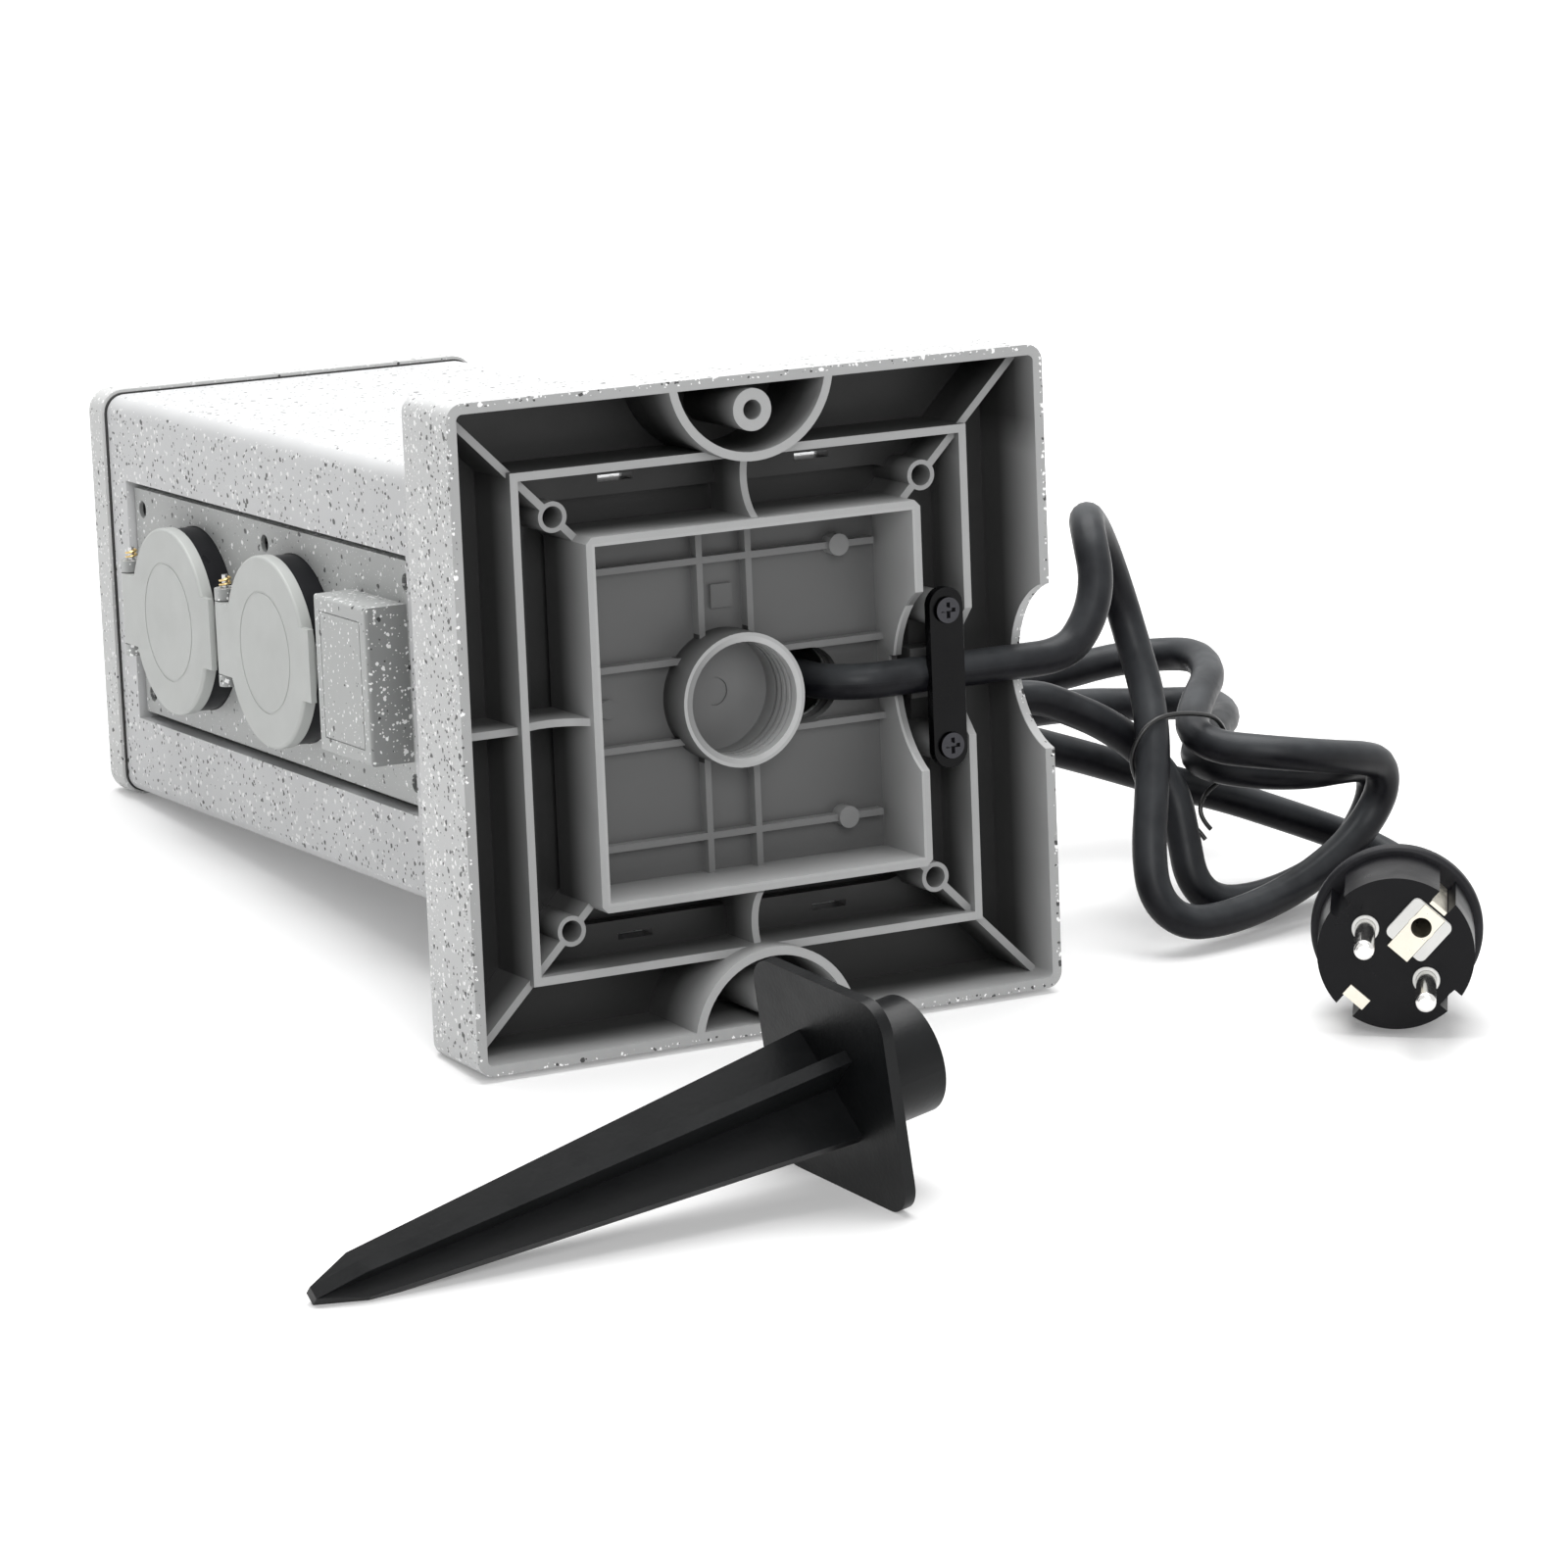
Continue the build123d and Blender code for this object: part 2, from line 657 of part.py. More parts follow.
# Cap with its spigot, and the seal under it
cap_side = column_side + 2 * cap_overhang
cap = prism(cap_side, cap_side, column_corner + cap_overhang, cap_height)
cap = fillet(cap.faces().sort_by(Axis.Z)[-1].edges(), cap_round)
cap -= prism(column_inner, column_inner, column_corner - column_wall, cap_height - cap_wall)
spigot_side = column_inner - 2 * slip
spigot_hole = spigot_side - 2 * cap_spigot_wall
spigot = prism(spigot_side, spigot_side, column_corner - column_wall, cap_end - cap_wall / 2 - column_end + cap_spigot)
spigot -= block(spigot_hole, spigot_hole, cap_end - cap_wall - column_end + cap_spigot)
nodes["top_cap"] = Pos(0, 0, cap_start) * cap + Pos(0, 0, column_end - cap_spigot) * spigot
seal_side = column_side + 2 * cap_seal_proud
seal = prism(seal_side, seal_side, column_corner + cap_seal_proud, cap_seal)
seal -= prism(column_inner, column_inner, column_corner - column_wall, cap_seal)
nodes["cap_seal"] = Pos(0, 0, column_end) * seal

# Screws that hold the column on the base
nodes["column_screws"] = group(
    Pos(x, y, base_depth - back_wall) * Rot(180, 0, 0) * screw(
        column_screw, column_screw_length, column_head, column_head_height)
    for x, y in corners(tube_offset, tube_offset))

# Socket panel with its raised hollow housing
panel_box = (panel_start + panel_end_gap, panel_end - panel_end_gap, panel_half - panel_side_gap)
panel = slab(panel_face, panel_back, *panel_box)
housing = slab(panel_face + box_height, panel_face, box_start, box_end, box_half)
panel += fillet(housing.faces().sort_by(Axis.X)[0].edges(), box_edge)
panel -= slab(panel_face + box_height - box_wall, panel_back - overrun, box_start + box_wall,
              box_end - box_wall, box_half - box_wall)
line_face = panel_face + box_height
line = slab(line_face + overrun, line_face - box_line, box_start + box_line_inset,
            box_end - box_line_inset, box_half - box_line_inset)
line_end = box_line_inset + box_line
panel -= line - slab(line_face + overrun, line_face - box_line, box_start + line_end,
                     box_end - line_end, box_half - line_end)
for y, z in panel_screw_places:
    panel -= from_panel(panel_face + overrun, y, z) * rod(panel_screw / 2 + thread_play, panel_wall + 2 * overrun)
    panel -= from_panel(panel_face + overrun, y, z) * rod(
        panel_head / 2 + slip, panel_head_sink + panel_head_height + overrun)


def on_panel(z):
    """The frame of a socket: z out of the panel, x towards the cap."""
    return Plane(origin=(-panel_face, 0, z), x_dir=(0, 0, 1), z_dir=(-1, 0, 0)).location


socket_places = {"lower": socket_low, "upper": socket_high}
flange_screws = [(-ear_offset, -ear_offset), (-ear_offset, ear_offset), (ear_far, 0)]
bracket_screws = [(hinge_offset, side * (ear_start + hinge_ear / 2)) for side in (-1, 1)]
screw_hole = fixing_screw / 2 + thread_play
for z in socket_places.values():
    panel -= on_panel(z) * Pos(0, 0, -panel_wall - overrun) * rod(collar_radius + slip, panel_wall + 2 * overrun)
    for x, y in flange_screws:
        panel -= on_panel(z) * Pos(x, y, -panel_wall - overrun) * rod(
            screw_hole, fixing_depth + thread_play + overrun)
    for x, y in bracket_screws:
        panel -= on_panel(z) * Pos(x, y, -panel_wall - overrun) * rod(screw_hole, panel_wall + 2 * overrun)
nodes["socket_panel"] = panel
panel_gasket = slab(panel_back, ledge_face, panel_start + slip, panel_end - slip, panel_half - slip)
panel_gasket -= slab(panel_back + overrun, ledge_face - overrun, panel_start + ledge,
                     panel_end - ledge, panel_half - ledge)
for y, z in panel_screw_places:
    panel_gasket -= from_panel(panel_back + overrun, y, z) * rod(panel_screw / 2 + slip, panel_seal + 2 * overrun)
nodes["panel_seal"] = panel_gasket
nodes["panel_screws"] = group(
    from_panel(panel_face - panel_head_sink - panel_head_height, y, z) * Rot(180, 0, 0) * screw(
        panel_screw, panel_screw_length, panel_head, panel_head_height)
    for y, z in panel_screw_places)

# One socket, with z out of the panel. First the moulded insert: a collar in front of
# the panel, and a flange with three ears and a body behind it.
pieces = {}
pin_rows = (-pin_pitch / 2, pin_pitch / 2)
insert = Pos(0, 0, flange_back) * rod(collar_radius, collar_height - flange_back)
insert += Pos(0, 0, flange_back) * rod(flange_radius, flange_wall)
insert += Pos(0, 0, -body_length) * rod(body_radius, body_length + flange_back + overrun)
for x, y in flange_screws:
    reach = hypot(x, y)
    arm = Pos(reach / 2, 0, 0) * block(reach, 2 * ear_radius, flange_wall)
    arm += Pos(reach, 0, 0) * rod(ear_radius, flange_wall)
    arm -= Pos(reach, 0, -overrun) * rod(screw_hole, flange_wall + 2 * overrun)
    insert += Pos(0, 0, flange_back) * Rot(0, 0, degrees(atan2(y, x))) * arm
insert -= Pos(0, 0, collar_height - well_depth) * rod(well_radius, well_depth + overrun)
for y in pin_rows:
    insert -= Pos(0, y, -body_length - overrun) * rod(pin_hole / 2, body_length)
    insert -= Pos(0, y, -body_length - overrun) * rod(contact / 2 + slip, contact_length + thread_play + overrun)
bow_x = well_radius - bow_inset - bow_wall / 2
bow_top = collar_height - bow_mouth
for side in (-1, 1):
    insert -= Pos(side * bow_x, 0, -body_length - overrun) * block(
        bow_wall + slip, bow_width + 2 * slip, body_length + bow_top + slip + overrun)
pieces["socket_insert"] = insert


def lug_block(width):
    """A block under z = 0 with a hole for a wire and one for its screw."""
    shape = Pos(0, 0, -lug_length) * block(lug, width, lug_length)
    shape -= Pos(-lug / 2 - overrun, 0, -lug_length / 2) * Rot(0, 90, 0) * rod(
        core / 2 + core_play, lug / 2 + overrun)
    return shape - Pos(0, 0, -lug_length - overrun) * rod(
        terminal_screw / 2 + thread_play, lug_length / 2 + overrun)


# brass contacts, each with its lug, and the earth bow: two springy arms in the well,
# joined by a bar behind the body that has a lug of its own
contact_piece = rod(contact / 2, contact_length)
contact_piece -= rod(contact_bore / 2, contact_length)
contact_piece = contact_piece + rod(contact / 2, (contact - contact_bore) / 2) + lug_block(lug)
pieces["socket_contacts"] = group(Pos(0, y, -body_length) * contact_piece for y in pin_rows)
bow_back = -body_length - bow_wall
arms = []
for side in (-1, 1):
    arms.append(Pos(side * bow_x, 0, bow_back) * block(bow_wall, bow_width, bow_top - bow_back))
    hook = block(bow_wall, bow_width, bow_hook_length)
    arms.append(Pos(side * (bow_x - bow_hook), 0, bow_top - bow_hook_inset - bow_hook_length) * hook)
bar = Pos(0, 0, bow_back) * block(2 * bow_x, bow_width, bow_wall)
pieces["socket_earth_bow"] = joined([*arms, bar, Pos(0, 0, bow_back) * lug_block(bow_width)])
lug_screw = Rot(180, 0, 0) * screw(terminal_screw, lug_length / 2 - core / 2 - core_play - thread_play,
                                   terminal_head, terminal_head_height)
lug_screws = [Pos(0, y, -body_length - lug_length) * lug_screw for y in pin_rows]
lug_screws.append(Pos(0, 0, bow_back - lug_length) * lug_screw)
pieces["socket_terminal_screws"] = group(lug_screws)

# screws from behind: three through the flange, two into the hinge bracket
flange_screw = Rot(180, 0, 0) * screw(fixing_screw, flange_wall + fixing_depth, fixing_head, fixing_head_height)
bracket_screw = Rot(180, 0, 0) * screw(fixing_screw, panel_wall + fixing_depth, fixing_head, fixing_head_height)
pieces["socket_fixing_screws"] = group(
    [Pos(x, y, flange_back) * flange_screw for x, y in flange_screws]
    + [Pos(x, y, -panel_wall) * bracket_screw for x, y in bracket_screws])


def on_hinge(start, length, radius):
    """A round bar on the hinge's line, from start along y."""
    return Pos(hinge_offset, start, hinge_height) * Rot(-90, 0, 0) * rod(radius, length)


# hinge bracket with two ears on a foot, and its pin with a tail for the spring
ears_half = ear_start + hinge_ear
bracket = Pos(hinge_offset, 0, 0) * block(2 * barrel_radius, 2 * ears_half, hinge_foot)
for start in (-ears_half, ear_start):
    bracket += Pos(hinge_offset, start + hinge_ear / 2, 0) * block(2 * barrel_radius, hinge_ear, hinge_height)
    bracket += on_hinge(start, hinge_ear, barrel_radius)
bracket -= on_hinge(-ears_half - overrun, 2 * ears_half + 2 * overrun, hinge_pin_radius + pin_play / 2)
for x, y in bracket_screws:
    bracket -= Pos(x, y, -overrun) * rod(screw_hole, fixing_depth + thread_play + overrun)
pieces["hinge_bracket"] = bracket
pin_start = -ears_half - pin_tail
pieces["hinge_pin"] = on_hinge(pin_start, ears_half - pin_start, hinge_pin_radius)

# lid: disc, finger tab, arm and barrel, with a seal on its inside
lid = fillet(rod(lid_radius, lid_wall).faces().sort_by(Axis.Z)[-1].edges(), lid_edge)
lid = Pos(0, 0, lid_base) * Part(lid.wrapped)
tab_length = lid_radius + lid_tab - well_radius
lid += Pos(-well_radius - tab_length / 2, 0, lid_top - lid_tab_wall) * block(
    tab_length, 2 * lid_tab_half, lid_tab_wall)
arm_length = hinge_offset - well_radius
lid += Pos(well_radius + arm_length / 2, 0, hinge_height) * block(arm_length, 2 * lid_arm_half, barrel_radius)
lid += on_hinge(-lid_arm_half, 2 * lid_arm_half, barrel_radius)
lid -= on_hinge(-lid_arm_half - overrun, 2 * lid_arm_half + 2 * overrun, hinge_pin_radius + pin_play)
ring = rod(lid_ring + lid_ring_width, lid_ring_depth + overrun) - rod(lid_ring, lid_ring_depth + overrun)
lid -= Pos(0, 0, lid_top - lid_ring_depth) * ring
pieces["lid"] = lid
pieces["lid_seal"] = Pos(0, 0, lid_base - seal_wall) * rod(seal_radius, seal_wall)

# the lid's spring, wound round the pin's tail
spring_corner = spring_radius / cos(pi / spring_corners)
spring_start = -ears_half - face_gap - spring_wire / 2
spring_points = []
for i in range(spring_turns * spring_corners + 1):
    angle = 2 * pi * i / spring_corners
    spring_points.append((hinge_offset + spring_corner * cos(angle),
                          spring_start - spring_pitch * i / spring_corners,
                          hinge_height + spring_corner * sin(angle)))
spring_path, pieces["lid_spring"] = tube(spring_points, spring_wire)
tell_wire("lid spring", spring_points, spring_path, pieces["lid_spring"], spring_wire)
for place, z in socket_places.items():
    for name, shape in pieces.items():
        nodes[f"{place}_{name}"] = on_panel(z) * shape

# Cable clamp: a bar with round ends, a groove for the cable and two screws
clamp_bar = Pos(clamp_x, 0, clamp_front) * extrude(
    RectangleRounded(clamp_width, clamp_length, clamp_width / 2 - thread_play), clamp_wall)
clamp_screws = []
for side in (-1, 1):
    place = Pos(clamp_x, side * clamp_pitch / 2, clamp_front)
    clamp_bar -= place * Pos(0, 0, -overrun) * rod(clamp_head / 2 + slip, clamp_well + overrun)
    clamp_bar -= place * rod(clamp_screw / 2 + thread_play, clamp_wall + overrun)
    clamp_screws.append(place * Pos(0, 0, clamp_well) * Rot(180, 0, 0) * screw(
        clamp_screw, clamp_screw_length, clamp_head, clamp_head_height))
clamp_bar -= Pos(clamp_x, -cable_level, cable_depth) * Rot(0, 90, 0) * Cylinder(
    cable / 2 + cable_play, 2 * clamp_width)
nodes["cable_clamp_bar"] = clamp_bar
nodes["clamp_screws"] = group(clamp_screws)

# Cable inside the post, from just outside the rim to the end of its sheath
cable_exit = (base_side / 2 + cable_lead, -cable_level, cable_depth)
cable_path = FilletPolyline(cable_exit, (cable_turn_x, -cable_level, cable_depth),
                            (cable_turn_x, -cable_level, sheath_end), radius=cable_turn)
nodes["cable_inside"] = sweep(Plane(origin=cable_path @ 0, z_dir=cable_path % 0) * Circle(cable / 2),
                              path=cable_path)

# Terminal block, its six wire screws and two fixing screws
poles = (-pole_pitch, 0, pole_pitch)
block_face = block_x - block_height / 2
pole_screw_rows = (block_start + block_length / 4, block_start + 3 * block_length / 4)
pole_screw_places = [Pos(block_face, y, z) * Rot(0, 90, 0) for y in poles for z in pole_screw_rows]
fixing_places = [Pos(block_face, side * block_post_pitch / 2, block_middle) * Rot(0, 90, 0) for side in (-1, 1)]
terminal_block = Pos(block_x, 0, block_start) * block(block_height, block_width, block_length)
for y in poles:
    terminal_block -= Pos(block_x, y, block_start - overrun) * rod(block_bore / 2, block_length + 2 * overrun)
for place in pole_screw_places:
    terminal_block -= place * Pos(0, 0, -overrun) * rod(block_screw / 2 + thread_play, block_height / 2 + overrun)
for place in fixing_places:
    terminal_block -= place * Pos(0, 0, -overrun) * rod(block_fixing / 2 + thread_play, block_height + 2 * overrun)
nodes["terminal_block"] = terminal_block
block_fixing_screw = Rot(180, 0, 0) * screw(block_fixing, block_height + block_fixing_bite, block_head,
                                            block_head_height)
nodes["terminal_block_screws"] = group(
    [place * rod(block_screw / 2, block_screw_length) for place in pole_screw_places]
    + [place * block_fixing_screw for place in fixing_places])

# Wires: cable to terminal block, and terminal block to both sockets
lug_x = -panel_face + body_length + lug_length / 2
wire_ends = {"live_wires": (-1, -pin_pitch / 2, lug_x), "earth_wires": (0, 0, lug_x + bow_wall),
             "neutral_wires": (1, pin_pitch / 2, lug_x)}
for name, (step, end_y, end_x) in wire_ends.items():
    core_y = step * (core + core_play) - cable_level
    pole_y = step * pole_pitch
    runs = [[(cable_turn_x, core_y, sheath_end), (cable_turn_x, core_y, sheath_end + core_turn),
             (block_x, pole_y, block_start - core_turn), (block_x, pole_y, block_middle - core_end_play)]]
    for side, crossing, socket_z in ((-1, low_crossing, socket_low), (1, high_crossing, socket_high)):
        wire_y = pole_y + side * (core + core_play) / 2
        runs.append([(block_x, wire_y, block_middle + core_end_play), (block_x, wire_y, crossing),
                     (end_x, end_y, crossing), (end_x, end_y, socket_z - core_end_play)])
    nodes[name] = group(tube(run, core)[1] for run in runs)

# Everything so far stands in the post's own frame; the rest lies beside it
placed = {name: post * shape for name, shape in nodes.items()}

# Ground spike, with z along its axis to the tip. Its plate stands on the ground on one
# edge and its tip touches the ground.
tip_half = fin_wall / sqrt(2)
spike_pitch = atan2(spike_plate / 2 - tip_half, spike_length)
spike_z = floor_z + spike_plate / 2 * cos(spike_pitch)
yaw = radians(spike_yaw)
spike_frame = Plane(origin=(spike_x, spike_y, spike_z), x_dir=(-sin(yaw), cos(yaw), 0),
                    z_dir=(cos(yaw) * cos(spike_pitch), sin(yaw) * cos(spike_pitch), -sin(spike_pitch)))
spike = Pos(0, 0, -spike_plate_wall) * prism(spike_plate, spike_plate, spike_plate_corner, spike_plate_wall)
shoulder = spike_length - fin_shoulder
fin_side = [(fin_half, 0), (fin_low_half, shoulder), (fin_wall / 2, spike_length)]
fin_outline = fin_side + [(-x, z) for x, z in reversed(fin_side)] + fin_side[:1]
fin_plane = Plane(origin=(0, fin_wall / 2, 0), x_dir=(1, 0, 0), z_dir=(0, -1, 0))
fin = extrude(fin_plane * make_face(Polyline(*fin_outline).edges()), fin_wall)
spike += Rot(0, 0, 45) * fin
spike += Rot(0, 0, 135) * fin
stub = Pos(0, 0, -stub_neck) * rod(stub_neck_radius, stub_neck)
stub += Pos(0, 0, -stub_length) * rod(stub_radius, stub_length - stub_neck)
stub -= Pos(0, 0, -stub_length - overrun) * rod(stub_hollow, stub_length)
spike += Pos(0, 0, -spike_plate_wall) * stub
placed["ground_spike"] = spike_frame.location * spike

# Plug, with z out of its face
yaw, roll = radians(plug_yaw), radians(plug_roll)
plug_frame = Plane(origin=(plug_x, plug_y, plug_z),
                   x_dir=(-sin(yaw) * cos(roll), cos(yaw) * cos(roll), -sin(roll)),
                   z_dir=(cos(yaw), sin(yaw), 0)).location
flange_z = -face_length - plug_flange_wall
grip_z = flange_z - grip_length
plug_end = grip_z - sleeve_length
face = Pos(0, 0, -face_length) * rod(face_radius, face_length)
face += Pos(0, 0, -face_length - face_spigot_length) * rod(face_spigot_radius, face_spigot_length)
for angle, depth in ((0, guide_groove_depth), (90, clip_groove_depth), (180, guide_groove_depth),
                     (270, clip_groove_depth)):
    cut = Pos(face_radius - depth / 2 + overrun / 2, 0, -face_length - overrun) * block(
        depth + overrun, 2 * groove_half, face_length + 2 * overrun)
    face -= Rot(0, 0, angle) * (cut - Pos(0, 0, -face_length - overrun) * rod(face_spigot_radius, face_length))
for x in pin_rows:
    face -= Pos(x, 0, -pin_root) * rod(plug_pin / 2 + thread_play, pin_root + overrun)
earth_tube = earth_bore / 2 + earth_tube_wall
face -= Pos(0, earth_offset, -earth_tube_length) * rod(earth_tube + thread_play, earth_tube_length + overrun)
flange = Pos(0, 0, flange_z) * rod(plug_flange_radius, plug_flange_wall)
flange = Part(fillet(flange.edges().filter_by(GeomType.CIRCLE), plug_flange_edge).wrapped)
grip = Cone(grip_end_radius, grip_radius, grip_length, align=(Align.CENTER, Align.CENTER, Align.MIN))
body = flange + Pos(0, 0, grip_z) * grip
body += Pos(0, 0, plug_end) * rod(sleeve_radius, sleeve_length + overrun)
body -= Pos(0, 0, -face_length - face_spigot_length - slip) * rod(
    face_spigot_radius + slip, face_spigot_length + slip + overrun)
pin = rod(plug_pin / 2, plug_pin_length + pin_root)
pin = Part(fillet(pin.faces().sort_by(Axis.Z)[-1].edges(), plug_pin_tip).wrapped)
collar = rod(pin_collar / 2, pin_collar_height) - rod(plug_pin / 2 + thread_play, pin_collar_height)
plate_floor = earth_frame_height - earth_plate_height
plate_long = earth_plate_out + earth_plate_in
plate_middle = Pos(0, (earth_plate_out - earth_plate_in) / 2, plate_floor)
earth = Pos(0, 0, -earth_tube_length) * rod(earth_tube, earth_tube_length + earth_frame_height)
earth += plate_middle * block(earth_plate, plate_long, earth_plate_height)
earth -= Pos(0, 0, -earth_tube_length) * rod(earth_bore / 2, earth_tube_length + earth_frame_height)
earth_surround = Pos(0, -earth_frame_shift, 0) * prism(earth_frame, earth_frame, earth_frame_corner, earth_frame_height)
earth_surround -= plate_middle * block(earth_plate + slip, 2 * plate_long, earth_frame_height)
earth_surround -= rod(earth_tube + thread_play, earth_frame_height)
clip_floor = face_radius - clip_groove_depth
clip = Pos(0, clip_floor + clip_wall / 2, -face_length) * block(2 * groove_half - 2 * slip, clip_wall, face_length)
clip_front = Pos(0, clip_floor - clip_tab / 2 + clip_wall, 0) * block(clip_tab_width, clip_tab, clip_tab_wall)
plug_pieces = {
    "plug_body": body,
    "plug_face": face,
    "plug_pins": group(Pos(x, 0, -pin_root) * pin for x in pin_rows),
    "plug_pin_collars": group(Pos(x, 0, 0) * collar for x in pin_rows),
    "plug_earth_contact": Pos(0, earth_offset, 0) * earth,
    "plug_earth_frame": Pos(0, earth_offset, 0) * earth_surround,
    "plug_earth_clips": group([clip, Rot(0, 0, 180) * (clip + clip_front)]),
}
for name, shape in plug_pieces.items():
    placed[name] = plug_frame * shape

# Cord from the cable's straight end to the plug's sleeve, and the tie
far_end = plug_frame * Pos(0, 0, plug_end)
cord_points = [(post * Pos(cable_exit[0] + run, cable_exit[1], cable_exit[2])).position
               for run in (0, cord_first_run)]
cord_points += cord_turns
cord_points += [(far_end * Pos(0, 0, -cord_last_run)).position, far_end.position]
cord_path, placed["power_cord"] = tube(cord_points, cable)
tell_wire("power cord", cord_points, cord_path, placed["power_cord"], cable)
print(f"cord: lowest {placed['power_cord'].bounding_box().min.Z:.2f}, ground {floor_z:.2f}")
tie_path, placed["cord_tie"] = tube(tie_turns, tie)
tell_wire("cord tie", tie_turns, tie_path, placed["cord_tie"], tie)

for name, shape in placed.items():
    export_step(shape, f"parts/{name}.step")
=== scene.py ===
from math import atan2, cos, pi, radians, sin

import bmesh
import bpy
from mathutils import Matrix, Vector


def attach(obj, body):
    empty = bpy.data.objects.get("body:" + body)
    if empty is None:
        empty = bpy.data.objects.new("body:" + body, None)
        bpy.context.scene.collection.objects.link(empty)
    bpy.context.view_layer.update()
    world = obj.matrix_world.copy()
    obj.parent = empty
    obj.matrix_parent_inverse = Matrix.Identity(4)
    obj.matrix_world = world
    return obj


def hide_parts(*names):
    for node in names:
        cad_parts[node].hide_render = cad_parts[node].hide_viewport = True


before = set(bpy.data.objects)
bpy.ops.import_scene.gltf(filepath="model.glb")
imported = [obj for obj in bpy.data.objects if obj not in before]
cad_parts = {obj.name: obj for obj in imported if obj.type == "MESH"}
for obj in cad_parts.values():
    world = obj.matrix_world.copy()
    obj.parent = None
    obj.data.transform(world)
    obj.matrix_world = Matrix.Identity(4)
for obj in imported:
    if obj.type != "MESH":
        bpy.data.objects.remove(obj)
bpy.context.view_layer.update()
MM = 0.001

# Sizes of the post, in millimetres, as the model's source has them. In the post's own frame
# z runs from the base's rim to the cap, -x is the side with the sockets, and +y faces the
# ground. The post lies on the back edge of its base and on its cap, which tilts its axis.
BASE_HALF = 78
BASE_DRAFT = 0.65
BASE_DEPTH = 27.6
COLUMN_HALF = 53.5
CAP_OVERHANG = 1.2
POST_LENGTH = 279.1
SOCKET_RECESS = 9.75
TILT = atan2(BASE_HALF - BASE_DRAFT - COLUMN_HALF - CAP_OVERHANG, POST_LENGTH - BASE_DEPTH)
GROUND = -78.38 * MM

# Camera, fitted to the post's edges in the photograph

EYE = Vector((-658.137, -1236.463, 361.785)) * MM
LOOK = Vector((0.46114, 0.84953, -0.25623))
UP = Vector((0.1195, 0.2266, 0.9666))
FOCAL_LENGTH = 141.49
SENSOR_WIDTH = 36
SHIFT = (-0.0061, -0.0285)


def make_camera():
    lens = bpy.data.cameras.new("camera")
    lens.lens = FOCAL_LENGTH
    lens.sensor_width = SENSOR_WIDTH
    lens.shift_x, lens.shift_y = SHIFT
    lens.clip_start, lens.clip_end = 0.01, 20
    camera = bpy.data.objects.new("camera", lens)
    bpy.context.collection.objects.link(camera)
    back = -LOOK.normalized()
    right = UP.cross(back).normalized()
    up = back.cross(right)
    turn = Matrix((right, up, back)).transposed().to_4x4()
    camera.matrix_world = Matrix.Translation(EYE) @ turn
    bpy.context.scene.camera = camera


make_camera()

# Power cord and its tie, along the routes of the model's source, in millimetres

CABLE = 8.6
CORD_ROUTE = [
    (80, 0.742, 0.435), (88, 0.742, 0.435),
    (95.5, 2.5, 7.5), (100, 6, 16.5), (101, 12, 26), (107, 24, 29), (118, 35, 19),
    (125, 37, 4), (127, 33, -8), (126.5, 25, -18.5), (123, 16, -28.5), (118.5, 9, -40),
    (114, 3, -52.5), (113.5, -1, -63.5), (120, -4, -70.5), (134, -2, -71.7), (153, 3, -69.8),
    (168, 8, -66), (179, 11, -61), (186, 12, -54.5), (188.5, 11, -47.5), (186, 9, -41),
    (180, 6, -38), (171, 3, -36), (159, 1, -33.5), (147, 5, -32), (139.5, 14, -32),
    (139, 25, -30), (149, 37, -26), (161, 50, -24), (167, 66, -23), (162.5, 78, -25),
    (150, 83, -26.5), (135, 82.5, -28.5), (110, 82.5, -30), (88, 78, -31), (70, 66, -29),
    (66, 50, -25), (77, 36, -20), (95.5, 31, -17), (106.5, 30, -21.5), (117.5, 29, -27),
    (127.5, 27, -35), (133, 22, -44), (133, 17, -55.5), (133, 13, -65.5), (139, 11, -71.7),
    (153.5, 12, -72.7), (172, 18, -71), (185, 23, -67), (192, 26, -62), (196, 27, -55.5),
    (195.5, 26, -49), (190, 23, -45), (181, 19, -43.5), (168, 15, -42.5), (154, 16, -41),
    (145.5, 23, -40), (146, 34, -40), (158, 46, -38), (174, 62, -39.5), (179, 78, -40),
    (174.5, 90, -42.5), (164, 95, -42.7), (150, 95.5, -41), (125, 94, -40.5), (103, 90, -41),
    (83, 80, -42), (72, 64, -40), (79, 48, -36), (97, 42, -31), (110, 42, -35.5),
    (123.5, 43, -40.5), (136.5, 43.5, -45.5), (149, 42, -50), (161, 40, -54), (173.5, 38, -59),
    (185.5, 37.5, -64), (196, 35, -68.5), (202, 27, -72), (201, 15, -73.5), (194, 2, -72),
    (184.5, -8.5, -66), (172.58, -20.318, -57.8), (163.517, -33.504, -57.8),
]
TIE = 1.2
TIE_ROUTE = [
    (144.5, 22.5, -56), (141.5, 24, -52.5), (144.5, 26, -47.5), (150.5, 27, -45),
    (152.5, 26.5, -40), (150.5, 24.5, -34.5), (145.5, 21, -27.5), (139.5, 18.5, -24.5),
    (126.5, 14.5, -22), (119.5, 13.5, -23.5), (115.5, 14.5, -30.5), (118, 17, -37.5),
    (126.5, 22.5, -48), (130, 24, -51.5), (136.5, 25.5, -51.5), (140, 23, -54.5),
    (142, 21, -58),
]


